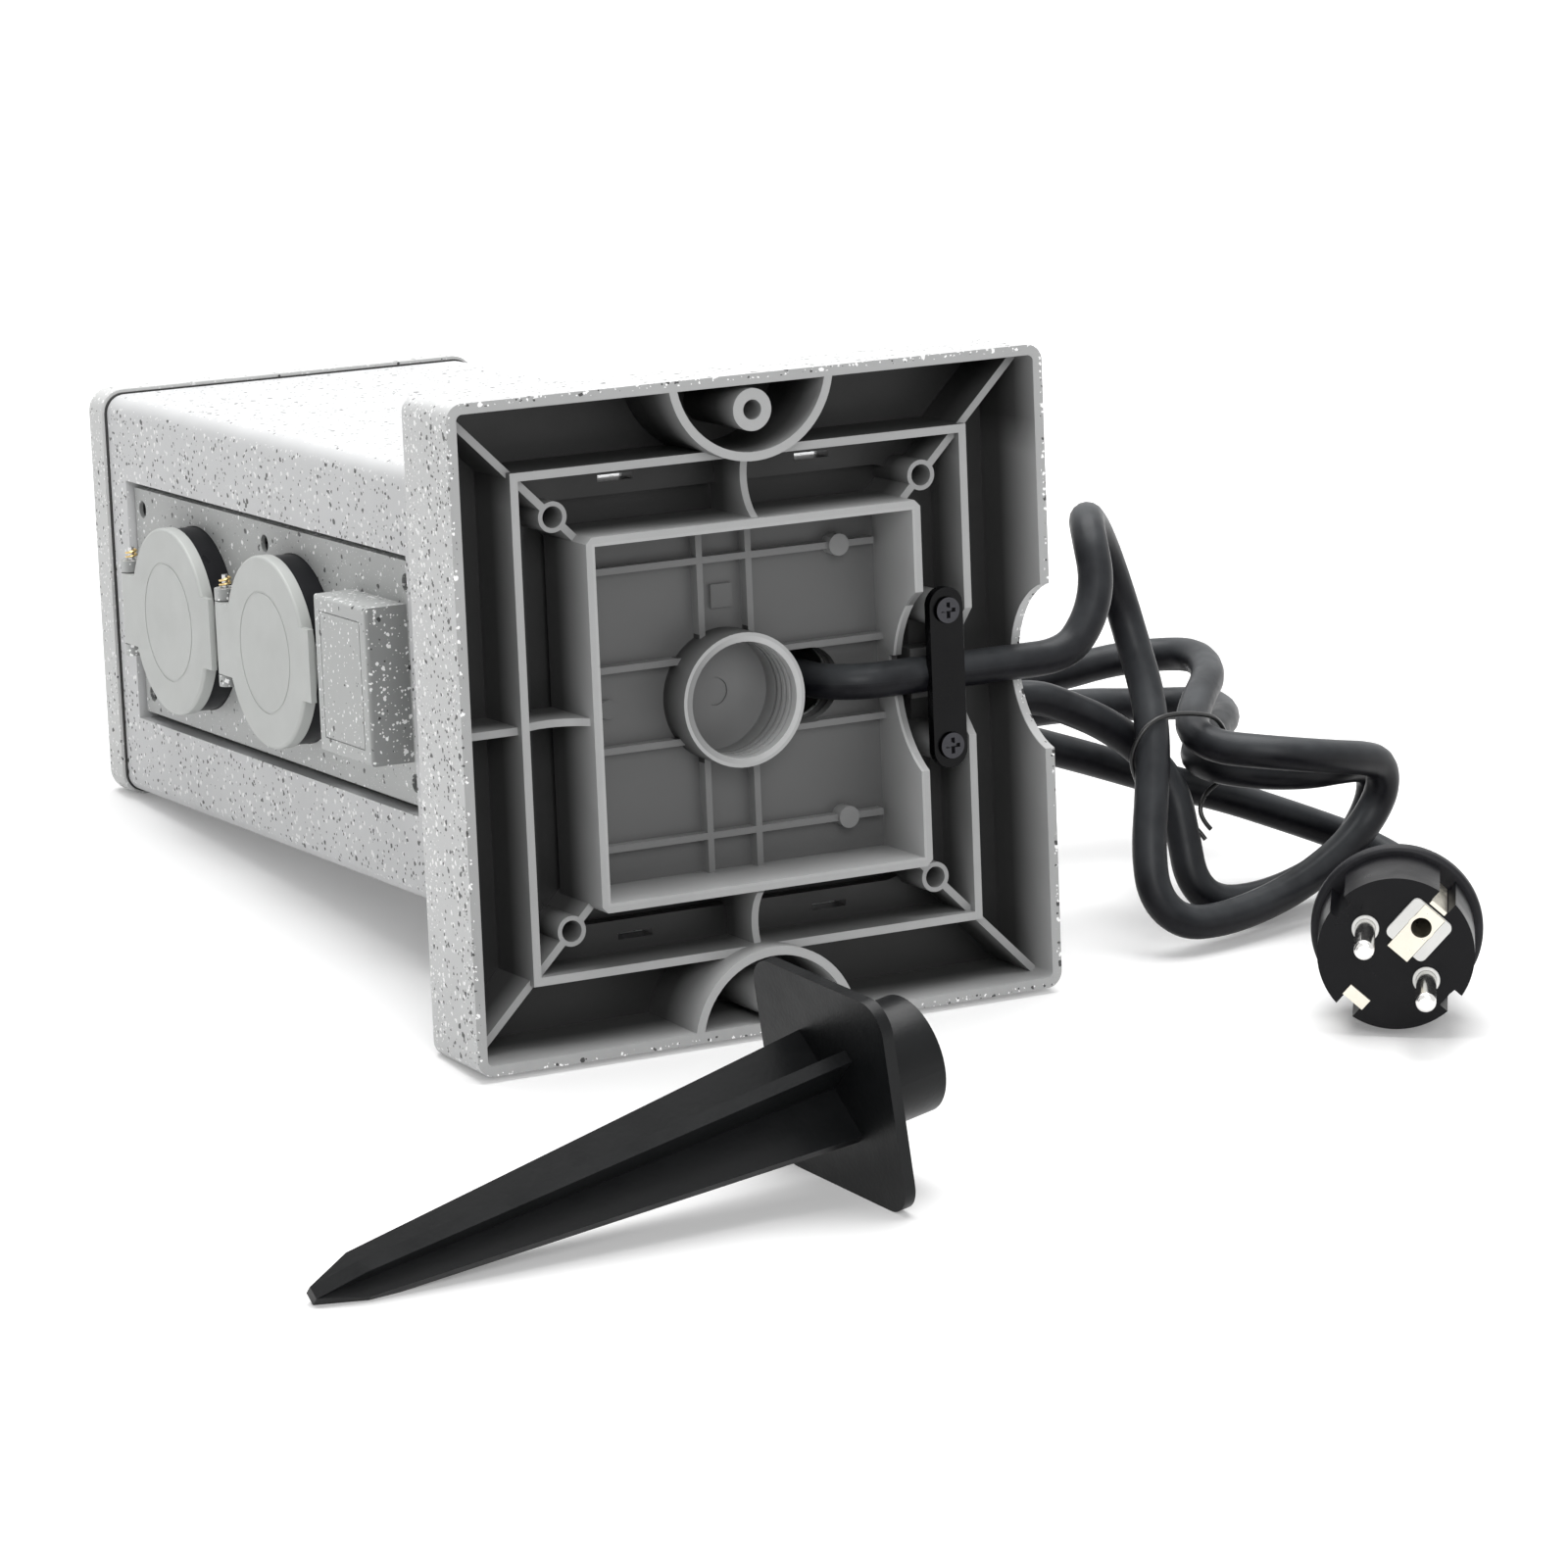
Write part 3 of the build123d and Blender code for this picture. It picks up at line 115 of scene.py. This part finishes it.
def wire(name, route, width):
    """A round wire on one open spline with these control points, given in millimetres, as a
    mesh tube, and the places along its middle."""
    curve = bpy.data.curves.new(name, "CURVE")
    curve.dimensions = "3D"
    line = curve.splines.new("NURBS")
    line.points.add(len(route) - 1)
    for point, place in zip(line.points, route):
        point.co = (*(Vector(place) * MM), 1)
    line.order_u = 3
    line.use_endpoint_u = True
    line.resolution_u = 8
    drawn = bpy.data.objects.new(name + "_line", curve)
    bpy.context.collection.objects.link(drawn)

    def as_mesh():
        bpy.context.view_layer.update()
        return bpy.data.meshes.new_from_object(
            drawn.evaluated_get(bpy.context.evaluated_depsgraph_get()))

    middle = as_mesh()
    path = [tuple(vertex.co) for vertex in middle.vertices]
    curve.bevel_depth = width / 2 * MM
    curve.bevel_resolution = 6
    curve.use_fill_caps = True
    tube = bpy.data.objects.new(name, as_mesh())
    bpy.context.collection.objects.link(tube)
    bpy.data.meshes.remove(middle)
    bpy.data.objects.remove(drawn)
    bpy.data.curves.remove(curve)
    return tube, path


power_cord, cord_path = wire("power_cord_cable", CORD_ROUTE, CABLE)
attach(power_cord, "post")
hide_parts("power_cord")

tie, tie_path = wire("cord_tie_wire", TIE_ROUTE, TIE)
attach(tie, "post")
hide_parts("cord_tie")

# Lid springs, wound round the tails of the hinge pins, in millimetres

SOCKETS = {"lower": 151.6, "upper": 214.1}      # how far along the post each socket is
PANEL_FACE = 51.55
HINGE_HEIGHT = 6.4
HINGE_OFFSET = 30
SPRING_START = -13.2
SPRING_WIRE = 0.6
SPRING_RADIUS = 1.35
SPRING_PITCH = 1.1
SPRING_TURNS = 2
SPRING_CORNERS = 12


def from_post(x, y, z):
    """A point of the post's own frame, in the shared frame, both in millimetres."""
    z -= SOCKET_RECESS
    return x, z * cos(TILT) - y * sin(TILT), -y * cos(TILT) - z * sin(TILT)


def lid_spring(name, along):
    radius = SPRING_RADIUS / cos(pi / SPRING_CORNERS)
    route = []
    for i in range(SPRING_TURNS * SPRING_CORNERS + 1):
        angle = 2 * pi * i / SPRING_CORNERS
        route.append(from_post(-PANEL_FACE - HINGE_HEIGHT - radius * sin(angle),
                               SPRING_START - SPRING_PITCH * i / SPRING_CORNERS,
                               along + HINGE_OFFSET + radius * cos(angle)))
    coil, _ = wire(name + "_coil", route, SPRING_WIRE)
    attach(coil, "post")
    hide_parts(name)
    return coil


coils = [lid_spring(socket + "_lid_spring", along) for socket, along in SOCKETS.items()]

# How each finish is put together from nodes

SPECK_RADIUS = (0.12, 0.42)         # smallest and largest, as shares of a cell
SPECK_EDGE = 0.06
SPECK_SEED_STEPS = (1, 0.7, 1.3)    # how far each axis is shifted by a seed


class Finish:
    """A material, with short ways to add its nodes."""

    def __init__(self, name):
        self.material = bpy.data.materials.new(name)
        self.material.use_nodes = True
        self.tree = self.material.node_tree
        self.shader = self.tree.nodes["Principled BSDF"]
        coordinates = self.node("ShaderNodeTexCoord")
        self.place = coordinates.outputs["Object"]
        self.normal = coordinates.outputs["Normal"]

    def node(self, kind, **values):
        made = self.tree.nodes.new(kind)
        for key, value in values.items():
            setattr(made, key, value)
        return made

    def put(self, socket, value):
        if isinstance(value, bpy.types.NodeSocket):
            self.tree.links.new(value, socket)
        else:
            socket.default_value = value

    def set(self, **values):
        """Set or link the shader's own sockets, with _ for each space in their names."""
        for key, value in values.items():
            self.put(self.shader.inputs[key.replace("_", " ")], value)

    def math(self, operation, first, second=0.0, third=0.0):
        made = self.node("ShaderNodeMath", operation=operation)
        for socket, value in zip(made.inputs, (first, second, third)):
            self.put(socket, value)
        return made.outputs[0]

    def vectors(self, operation, first, second):
        made = self.node("ShaderNodeVectorMath", operation=operation)
        self.put(made.inputs[0], first)
        self.put(made.inputs[1], second)
        return made.outputs

    def split(self, vector):
        made = self.node("ShaderNodeSeparateXYZ")
        self.put(made.inputs[0], vector)
        return made.outputs

    def from_middle(self, x, y):
        """How far a place is from the middle."""
        return self.math("SQRT", self.math("MULTIPLY_ADD", x, x, self.math("MULTIPLY", y, y)))

    def ramp(self, value, low, high, start=0.0, end=1.0):
        """From start to end while the value goes from low to high."""
        made = self.node("ShaderNodeMapRange", clamp=True)
        for socket, number in zip(made.inputs, (value, low, high, start, end)):
            self.put(socket, number)
        return made.outputs[0]

    def pick(self, mask, off, on):
        """One value where the mask is 0, and the other where it is 1."""
        return self.math("MULTIPLY_ADD", mask, self.math("SUBTRACT", on, off), off)

    def mix(self, factor, first, second):
        """A blend of two colours."""
        made = self.node("ShaderNodeMix", data_type="RGBA")
        self.put(made.inputs["Factor"], factor)
        for socket, colour in ((made.inputs[6], first), (made.inputs[7], second)):
            self.put(socket, (*colour, 1) if isinstance(colour, tuple) else colour)
        return made.outputs[2]

    def noise(self, scale, detail=3.0, roughness=0.55):
        made = self.node("ShaderNodeTexNoise")
        self.put(made.inputs["Vector"], self.place)
        made.inputs["Scale"].default_value = scale
        made.inputs["Detail"].default_value = detail
        made.inputs["Roughness"].default_value = roughness
        return made.outputs["Fac"]

    def bump(self, height, distance, strength=0.5):
        made = self.node("ShaderNodeBump")
        self.put(made.inputs["Height"], height)
        made.inputs["Distance"].default_value = distance
        made.inputs["Strength"].default_value = strength
        return made.outputs["Normal"]

    def specks(self, place, size, share, ragged, seed):
        """A mask of scattered ragged blobs: one in a share of all cells of a size in metres."""
        shift = tuple(seed * step for step in SPECK_SEED_STEPS)
        shifted = self.vectors("ADD", place, shift)["Vector"]
        wobble = self.node("ShaderNodeTexNoise")
        self.put(wobble.inputs["Vector"], shifted)
        wobble.inputs["Scale"].default_value = 1.4 / size
        wobble.inputs["Detail"].default_value = 2
        fray = self.vectors("MULTIPLY", wobble.outputs["Color"], (ragged * size,) * 3)["Vector"]
        cells = self.node("ShaderNodeTexVoronoi", feature="F1")
        self.put(cells.inputs["Vector"], self.vectors("ADD", shifted, fray)["Vector"])
        cells.inputs["Scale"].default_value = 1 / size
        cells.inputs["Randomness"].default_value = 1
        chance = self.split(cells.outputs["Color"])[0]
        radius = self.ramp(chance, 1 - share, 1, *SPECK_RADIUS)
        inside = self.math("SUBTRACT", radius, cells.outputs["Distance"])
        chosen = self.math("GREATER_THAN", chance, 1 - share)
        return self.math("MULTIPLY", self.ramp(inside, 0.0, SPECK_EDGE), chosen)


# Where the post's plastic is speckled, and how much painted shade darkens the grey of its base.
# Places are in the post's own frame, in metres.

SKIRT_LEAN = 0.0235                 # how far the skirt leans in, per length along the post
SKIRT_SPECKLED = 0.0768             # half widths from which on the plastic is outside
# half width from which on the base's grey has no painted shade
SKIRT_LIT = 0.0757
COLUMN_SPECKLED = 0.0529
BASE_BACK = 0.0263
BAY_HALF = 0.0425
CUP_RADIUS = 0.0152                 # the threaded socket for the spike
CUP_WALL_RADIUS = 0.0170
RIM_DEPTH = 0.001


def post_place(finish):
    """Object coordinates turned into the post's own frame."""
    made = finish.node("ShaderNodeMapping", vector_type="POINT")
    finish.put(made.inputs["Vector"], finish.place)
    made.inputs["Rotation"].default_value = (radians(90) + TILT, 0, 0)
    made.inputs["Location"].default_value = (0, 0, SOCKET_RECESS * MM)
    return made.outputs["Vector"]


def reach_of(finish, x, y):
    return finish.math("MAXIMUM", finish.math("ABSOLUTE", x), finish.math("ABSOLUTE", y))


def beyond(half, lean=0.0, back=1.0):
    """Where the greater of |x| and |y| passes a skin that leans in, or z passes the back."""
    def where(finish, place):
        x, y, z = finish.split(place)
        reach = finish.math("MULTIPLY_ADD", z, lean, reach_of(finish, x, y))
        return finish.math("MAXIMUM", finish.math("GREATER_THAN", reach, half),
                           finish.math("GREATER_THAN", z, back))
    return where


def looks_to_rim(finish):
    """How much a face looks along the post's axis, towards the base's rim."""
    return finish.vectors("DOT_PRODUCT", finish.normal, (0, -cos(TILT), sin(TILT)))["Value"]


def panel_painted_shade(finish, place):
    """Painted shade: the panel's grey darkened to 0.62 on faces that look towards the base's rim.
    """
    return finish.ramp(looks_to_rim(finish), 0.3, 0.8, 1.0, 0.62)


def base_painted_shade(finish, place):
    """Painted shade: how much of the base's grey is kept, little deep in the channels, some in the
    bay and the cup, and all of it outside but for the rim's end faces.
    """
    x, y, z = finish.split(place)
    across, _, up = finish.split(finish.normal)
    # painted light and shade: faces that look up or to -x keep more of the grey than faces that
    # look away
    lit = finish.ramp(finish.math("MAXIMUM", up, finish.math("MULTIPLY", across, -1.0)), 0.2, 0.7)
    # less painted light on the faces in the top channel
    lit = finish.math("MULTIPLY", lit, finish.ramp(y, -0.060, -0.052, 0.25, 1.0))
    from_axis = finish.from_middle(x, y)
    bay = finish.math("LESS_THAN", reach_of(finish, x, y), BAY_HALF)
    cup = finish.math("LESS_THAN", from_axis, CUP_RADIUS)
    cup_wall = finish.math("LESS_THAN", from_axis, CUP_WALL_RADIUS)

    def fade(start, end, near, deep):
        """From near to deep between two depths below the rim."""
        return finish.ramp(z, start, end, near, deep)

    # painted shade, darker the deeper a face lies below the rim
    floors = finish.pick(bay, fade(0.006, 0.017, 0.62, 0.02), fade(0.010, 0.0195, 0.66, 0.16))
    cup_floor = finish.math("MULTIPLY", fade(0.012, 0.020, 0.8, 0.32),
                            finish.ramp(x, -0.014, 0.006, 0.45, 1.0))
    floors = finish.pick(cup, floors, cup_floor)

    channel_walls = finish.pick(lit, fade(0.0005, 0.009, 0.40, 0.02), fade(0.0, 0.017, 0.80, 0.10))
    bay_walls = finish.pick(lit, fade(0.001, 0.018, 0.40, 0.10), fade(0.001, 0.020, 0.85, 0.40))
    cup_inside = finish.pick(lit, fade(0.010, 0.020, 0.3, 0.04), fade(0.010, 0.024, 1.0, 0.35))
    walls = finish.pick(bay, channel_walls, bay_walls)
    walls = finish.pick(cup_wall, walls, fade(0.010, 0.019, 0.42, 0.06))
    walls = finish.pick(cup, walls, cup_inside)

    is_floor = finish.math("GREATER_THAN", looks_to_rim(finish), 0.7)
    rim = finish.math("MULTIPLY", is_floor, finish.math("LESS_THAN", z, RIM_DEPTH))
    # painted shade on the rim's end faces, which keep 0.64 of the grey
    outside = finish.math("MULTIPLY", beyond(SKIRT_LIT, SKIRT_LEAN, BASE_BACK)(finish, place),
                          finish.math("MULTIPLY_ADD", rim, -0.36, 1.0))
    return finish.math("MAXIMUM", finish.pick(is_floor, walls, floors), outside)


# Kinds of finish

BLACK_SPECK = (0.045, 0.045, 0.045)
# grey of dust and painted sheen on faces that look up
DUST_AND_SHEEN = (0.075, 0.08, 0.085)


def stone(name, grey, outside=None, painted_shade=None, big_dark=0.09, fine_dark=0.20, big_white=0.42,
          pale=0.84):
    """Grey moulded plastic, with white and black specks where outside says, or everywhere,
    and its grey darkened towards black by a painted shade factor, where one is given."""
    finish = Finish(name)
    place = post_place(finish)
    cloud = finish.noise(55, 4)
    plain = finish.mix(finish.ramp(cloud, 0.35, 0.7), grey, tuple(c * 1.07 for c in grey))
    white = finish.math("MAXIMUM", finish.specks(place, 0.0016, big_white, 0.8, 0.0),
                        finish.specks(place, 0.0009, 0.45, 0.7, 3.1))
    dark = finish.math("MAXIMUM", finish.specks(place, 0.0019, big_dark, 0.8, 7.7),
                       finish.specks(place, 0.0011, fine_dark, 0.7, 5.2))
    if outside:
        where = outside(finish, place)
        white = finish.math("MULTIPLY", white, where)
        dark = finish.math("MULTIPLY", dark, where)
    if painted_shade:
        # painted shade: the grey mixed towards black where the shade factor is below 1
        plain = finish.mix(painted_shade(finish, place), (0.0, 0.0, 0.0), plain)
    colour = finish.mix(white, plain, (pale, pale, pale))
    colour = finish.mix(dark, colour, BLACK_SPECK)
    grain = finish.math("MULTIPLY_ADD", white, 0.6, finish.noise(1500, 2))
    finish.set(Base_Color=colour, Roughness=finish.ramp(cloud, 0.3, 0.7, 0.42, 0.52),
               Normal=finish.bump(grain, 0.00005))
    return finish.material


def smooth_plastic(name, colour, rough, grain=1800, depth=0.00003, shine=0.5):
    finish = Finish(name)
    darker = tuple(c * 0.9 for c in colour)
    finish.set(Base_Color=finish.mix(finish.ramp(finish.noise(45, 4), 0.3, 0.7), darker, colour),
               Roughness=finish.ramp(finish.noise(130, 3), 0.3, 0.7, rough - 0.05, rough + 0.06),
               Specular_IOR_Level=shine, Normal=finish.bump(finish.noise(grain, 2), depth, 0.6))
    return finish.material


def metal(name, colour, rough):
    finish = Finish(name)
    brushed = finish.noise(900, 3)
    darker = tuple(c * 0.86 for c in colour)
    finish.set(Base_Color=finish.mix(finish.noise(120, 2), darker, colour), Metallic=1.0,
               Roughness=finish.ramp(brushed, 0.3, 0.7, rough * 0.75, rough * 1.3),
               Normal=finish.bump(brushed, 0.00001))
    return finish.material


def rubber(name, colour, rough, shine=0.35, dust_and_sheen=0.0):
    """Rubber, with a grey film on what faces up, part dust and part painted sheen, where its share
    is more than nothing.
    """
    finish = Finish(name)
    blotches = finish.noise(260, 4, 0.6)
    lighter = tuple(c * 1.5 + 0.002 for c in colour)
    tone = finish.mix(finish.ramp(blotches, 0.45, 0.75), colour, lighter)
    # dust and painted sheen: faces that look up mixed towards grey, in blotches
    if dust_and_sheen:
        up = finish.split(finish.normal)[2]
        dust_and_sheen_film = finish.math("MULTIPLY", finish.ramp(up, -0.1, 0.9, 0.0, dust_and_sheen),
                           finish.ramp(finish.noise(60, 3), 0.3, 0.65, 0.35, 1.0))
        tone = finish.mix(dust_and_sheen_film, tone, DUST_AND_SHEEN)
    grain = finish.math("MULTIPLY_ADD", blotches, 0.5, finish.noise(2600, 2))
    finish.set(Base_Color=tone, Specular_IOR_Level=shine, Normal=finish.bump(grain, 0.00004),
               Roughness=finish.ramp(blotches, 0.3, 0.7, rough - 0.05, rough + 0.07))
    return finish.material


# Materials, and what wears them

materials = {
    # the base and the panel carry painted shade in their grey
    "base": stone("speckled base", (0.56, 0.565, 0.565),
                  beyond(SKIRT_SPECKLED, SKIRT_LEAN, BASE_BACK), base_painted_shade,
                  big_dark=0.24, fine_dark=0.26, pale=0.95),
    "column": stone("speckled column", (0.56, 0.565, 0.57), beyond(COLUMN_SPECKLED)),
    "cap": stone("speckled cap", (0.56, 0.565, 0.56), big_dark=0.06, fine_dark=0.12),
    "panel": stone("speckled panel", (0.42, 0.43, 0.425), painted_shade=panel_painted_shade,
                   big_dark=0.04, fine_dark=0.08, big_white=0.50, pale=0.98),
    "lid": smooth_plastic("lid grey", (0.49, 0.505, 0.49), 0.42),
    "seal": rubber("seal rubber", (0.02, 0.02, 0.02), 0.6),
    "black": smooth_plastic("black plastic", (0.010, 0.010, 0.012), 0.32, shine=0.24),
    "bar": smooth_plastic("clamp bar black", (0.002, 0.002, 0.0025), 0.22, shine=0.13),
    "dark screw": metal("dark screw", (0.05, 0.05, 0.055), 0.2),
    "spike": smooth_plastic("spike black", (0.005, 0.0055, 0.006), 0.36, grain=900,
                            depth=0.00006, shine=0.19),
    # the cable's upper faces carry dust and painted sheen
    "cable": rubber("cable rubber", (0.003, 0.003, 0.0045), 0.38, shine=0.15, dust_and_sheen=0.75),
    "plug": rubber("plug rubber", (0.010, 0.010, 0.012), 0.45, shine=0.2),
    "plug face": smooth_plastic("plug face black", (0.004, 0.004, 0.005), 0.32, shine=0.15),
    "pins": metal("nickel plate", (0.82, 0.81, 0.79), 0.16),
    "steel": metal("zinc plate", (0.62, 0.62, 0.62), 0.3),
    "brass": metal("brass", (0.80, 0.60, 0.28), 0.25),
    "cream": metal("pale plate", (0.80, 0.76, 0.66), 0.35),
    "white": smooth_plastic("white plastic", (0.75, 0.75, 0.73), 0.4),
    "block": smooth_plastic("terminal white", (0.72, 0.72, 0.70), 0.35),
    "brown": smooth_plastic("brown wire", (0.16, 0.07, 0.035), 0.35),
    "blue": smooth_plastic("blue wire", (0.03, 0.13, 0.42), 0.35),
    "green": smooth_plastic("green wire", (0.33, 0.45, 0.03), 0.35),
    "tie": smooth_plastic("tie black", (0.01, 0.01, 0.01), 0.3),
}

# By node, where both sockets' nodes go by one name
DRESS = {
    "base_housing": "base", "column_shell": "column", "top_cap": "cap", "cap_seal": "seal",
    "column_screws": "steel", "socket_panel": "panel", "panel_seal": "seal",
    "panel_screws": "bar", "cable_clamp_bar": "bar", "clamp_screws": "dark screw",
    "cable_inside": "cable", "terminal_block": "block", "terminal_block_screws": "steel",
    "live_wires": "brown", "neutral_wires": "blue", "earth_wires": "green",
    "ground_spike": "spike", "plug_body": "plug", "plug_face": "plug face",
    "plug_pins": "pins", "plug_pin_collars": "white", "plug_earth_frame": "white",
    "plug_earth_contact": "cream", "plug_earth_clips": "cream",
    "socket_insert": "black", "socket_contacts": "brass", "socket_earth_bow": "steel",
    "socket_terminal_screws": "steel", "socket_fixing_screws": "steel",
    "hinge_bracket": "panel", "hinge_pin": "steel", "lid": "lid", "lid_seal": "seal",
}


def dress(piece, name):
    piece.data.materials.clear()
    piece.data.materials.append(materials[name])


for name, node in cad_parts.items():
    common = name.split("_", 1)[1] if name.startswith(("lower_", "upper_")) else name
    if common in DRESS:
        dress(node, DRESS[common])
dress(power_cord, "cable")
dress(tie, "tie")
for coil in coils:
    dress(coil, "brass")

# Floor, surroundings and lights

WHITE = (1, 1, 1, 1)
FLOOR_SIZE = 6
GLOW_NEAR, GLOW_FAR = 0.2, 1.0              # the floor's own light by the object and far off
NEAR, FAR = 0.45, 1.1
WORLD_LIGHT, WORLD_SEEN = 0.29, 1.0


def background_rays(tree):
    """One for the rays that show the background: camera, glossy and transmission rays."""
    path = tree.nodes.new("ShaderNodeLightPath")
    rays = path.outputs["Is Camera Ray"]
    for kind in ("Is Glossy Ray", "Is Transmission Ray"):
        either = tree.nodes.new("ShaderNodeMath")
        either.operation = "MAXIMUM"
        tree.links.new(rays, either.inputs[0])
        tree.links.new(path.outputs[kind], either.inputs[1])
        rays = either.outputs[0]
    return rays


def make_floor():
    mesh = bmesh.new()
    bmesh.ops.create_grid(mesh, x_segments=1, y_segments=1, size=FLOOR_SIZE)
    bmesh.ops.translate(mesh, verts=mesh.verts, vec=(0, 0, GROUND))
    data = bpy.data.meshes.new("floor")
    mesh.to_mesh(data)
    mesh.free()
    floor = bpy.data.objects.new("floor", data)
    bpy.context.collection.objects.link(floor)
    finish = Finish("white floor")
    x, y, _ = finish.split(finish.place)
    glow = finish.ramp(finish.from_middle(x, y), NEAR, FAR, GLOW_NEAR, GLOW_FAR)
    finish.set(Base_Color=(0.8, 0.8, 0.8, 1), Roughness=0.7, Specular_IOR_Level=0.2,
               Emission_Color=WHITE,
               Emission_Strength=finish.math("MULTIPLY", background_rays(finish.tree), glow))
    data.materials.append(finish.material)


def make_world():
    world = bpy.data.worlds.new("studio")
    world.use_nodes = True
    tree = world.node_tree
    background = tree.nodes["Background"]
    background.inputs["Color"].default_value = WHITE
    level = tree.nodes.new("ShaderNodeMapRange")
    level.inputs["To Min"].default_value = WORLD_LIGHT
    level.inputs["To Max"].default_value = WORLD_SEEN
    tree.links.new(background_rays(tree), level.inputs["Value"])
    tree.links.new(level.outputs["Result"], background.inputs["Strength"])
    bpy.context.scene.world = world


def softbox(name, place, target, side, power):
    lamp = bpy.data.lights.new(name, "AREA")
    lamp.shape = "RECTANGLE"
    lamp.size = lamp.size_y = side
    lamp.energy = power
    holder = bpy.data.objects.new(name, lamp)
    holder.location = place
    aim = Vector(target) - Vector(place)
    holder.rotation_euler = aim.to_track_quat("-Z", "Y").to_euler()
    bpy.context.collection.objects.link(holder)


make_floor()
make_world()
softbox("top softbox", (0.1, 0.25, 1.25), (0.0, 0.05, 0.0), side=1.3, power=27)
softbox("front softbox", (-0.5, -1.6, 0.9), (0.0, 0.0, 0.0), side=0.9, power=15)
bpy.context.scene.view_settings.view_transform = "Standard"
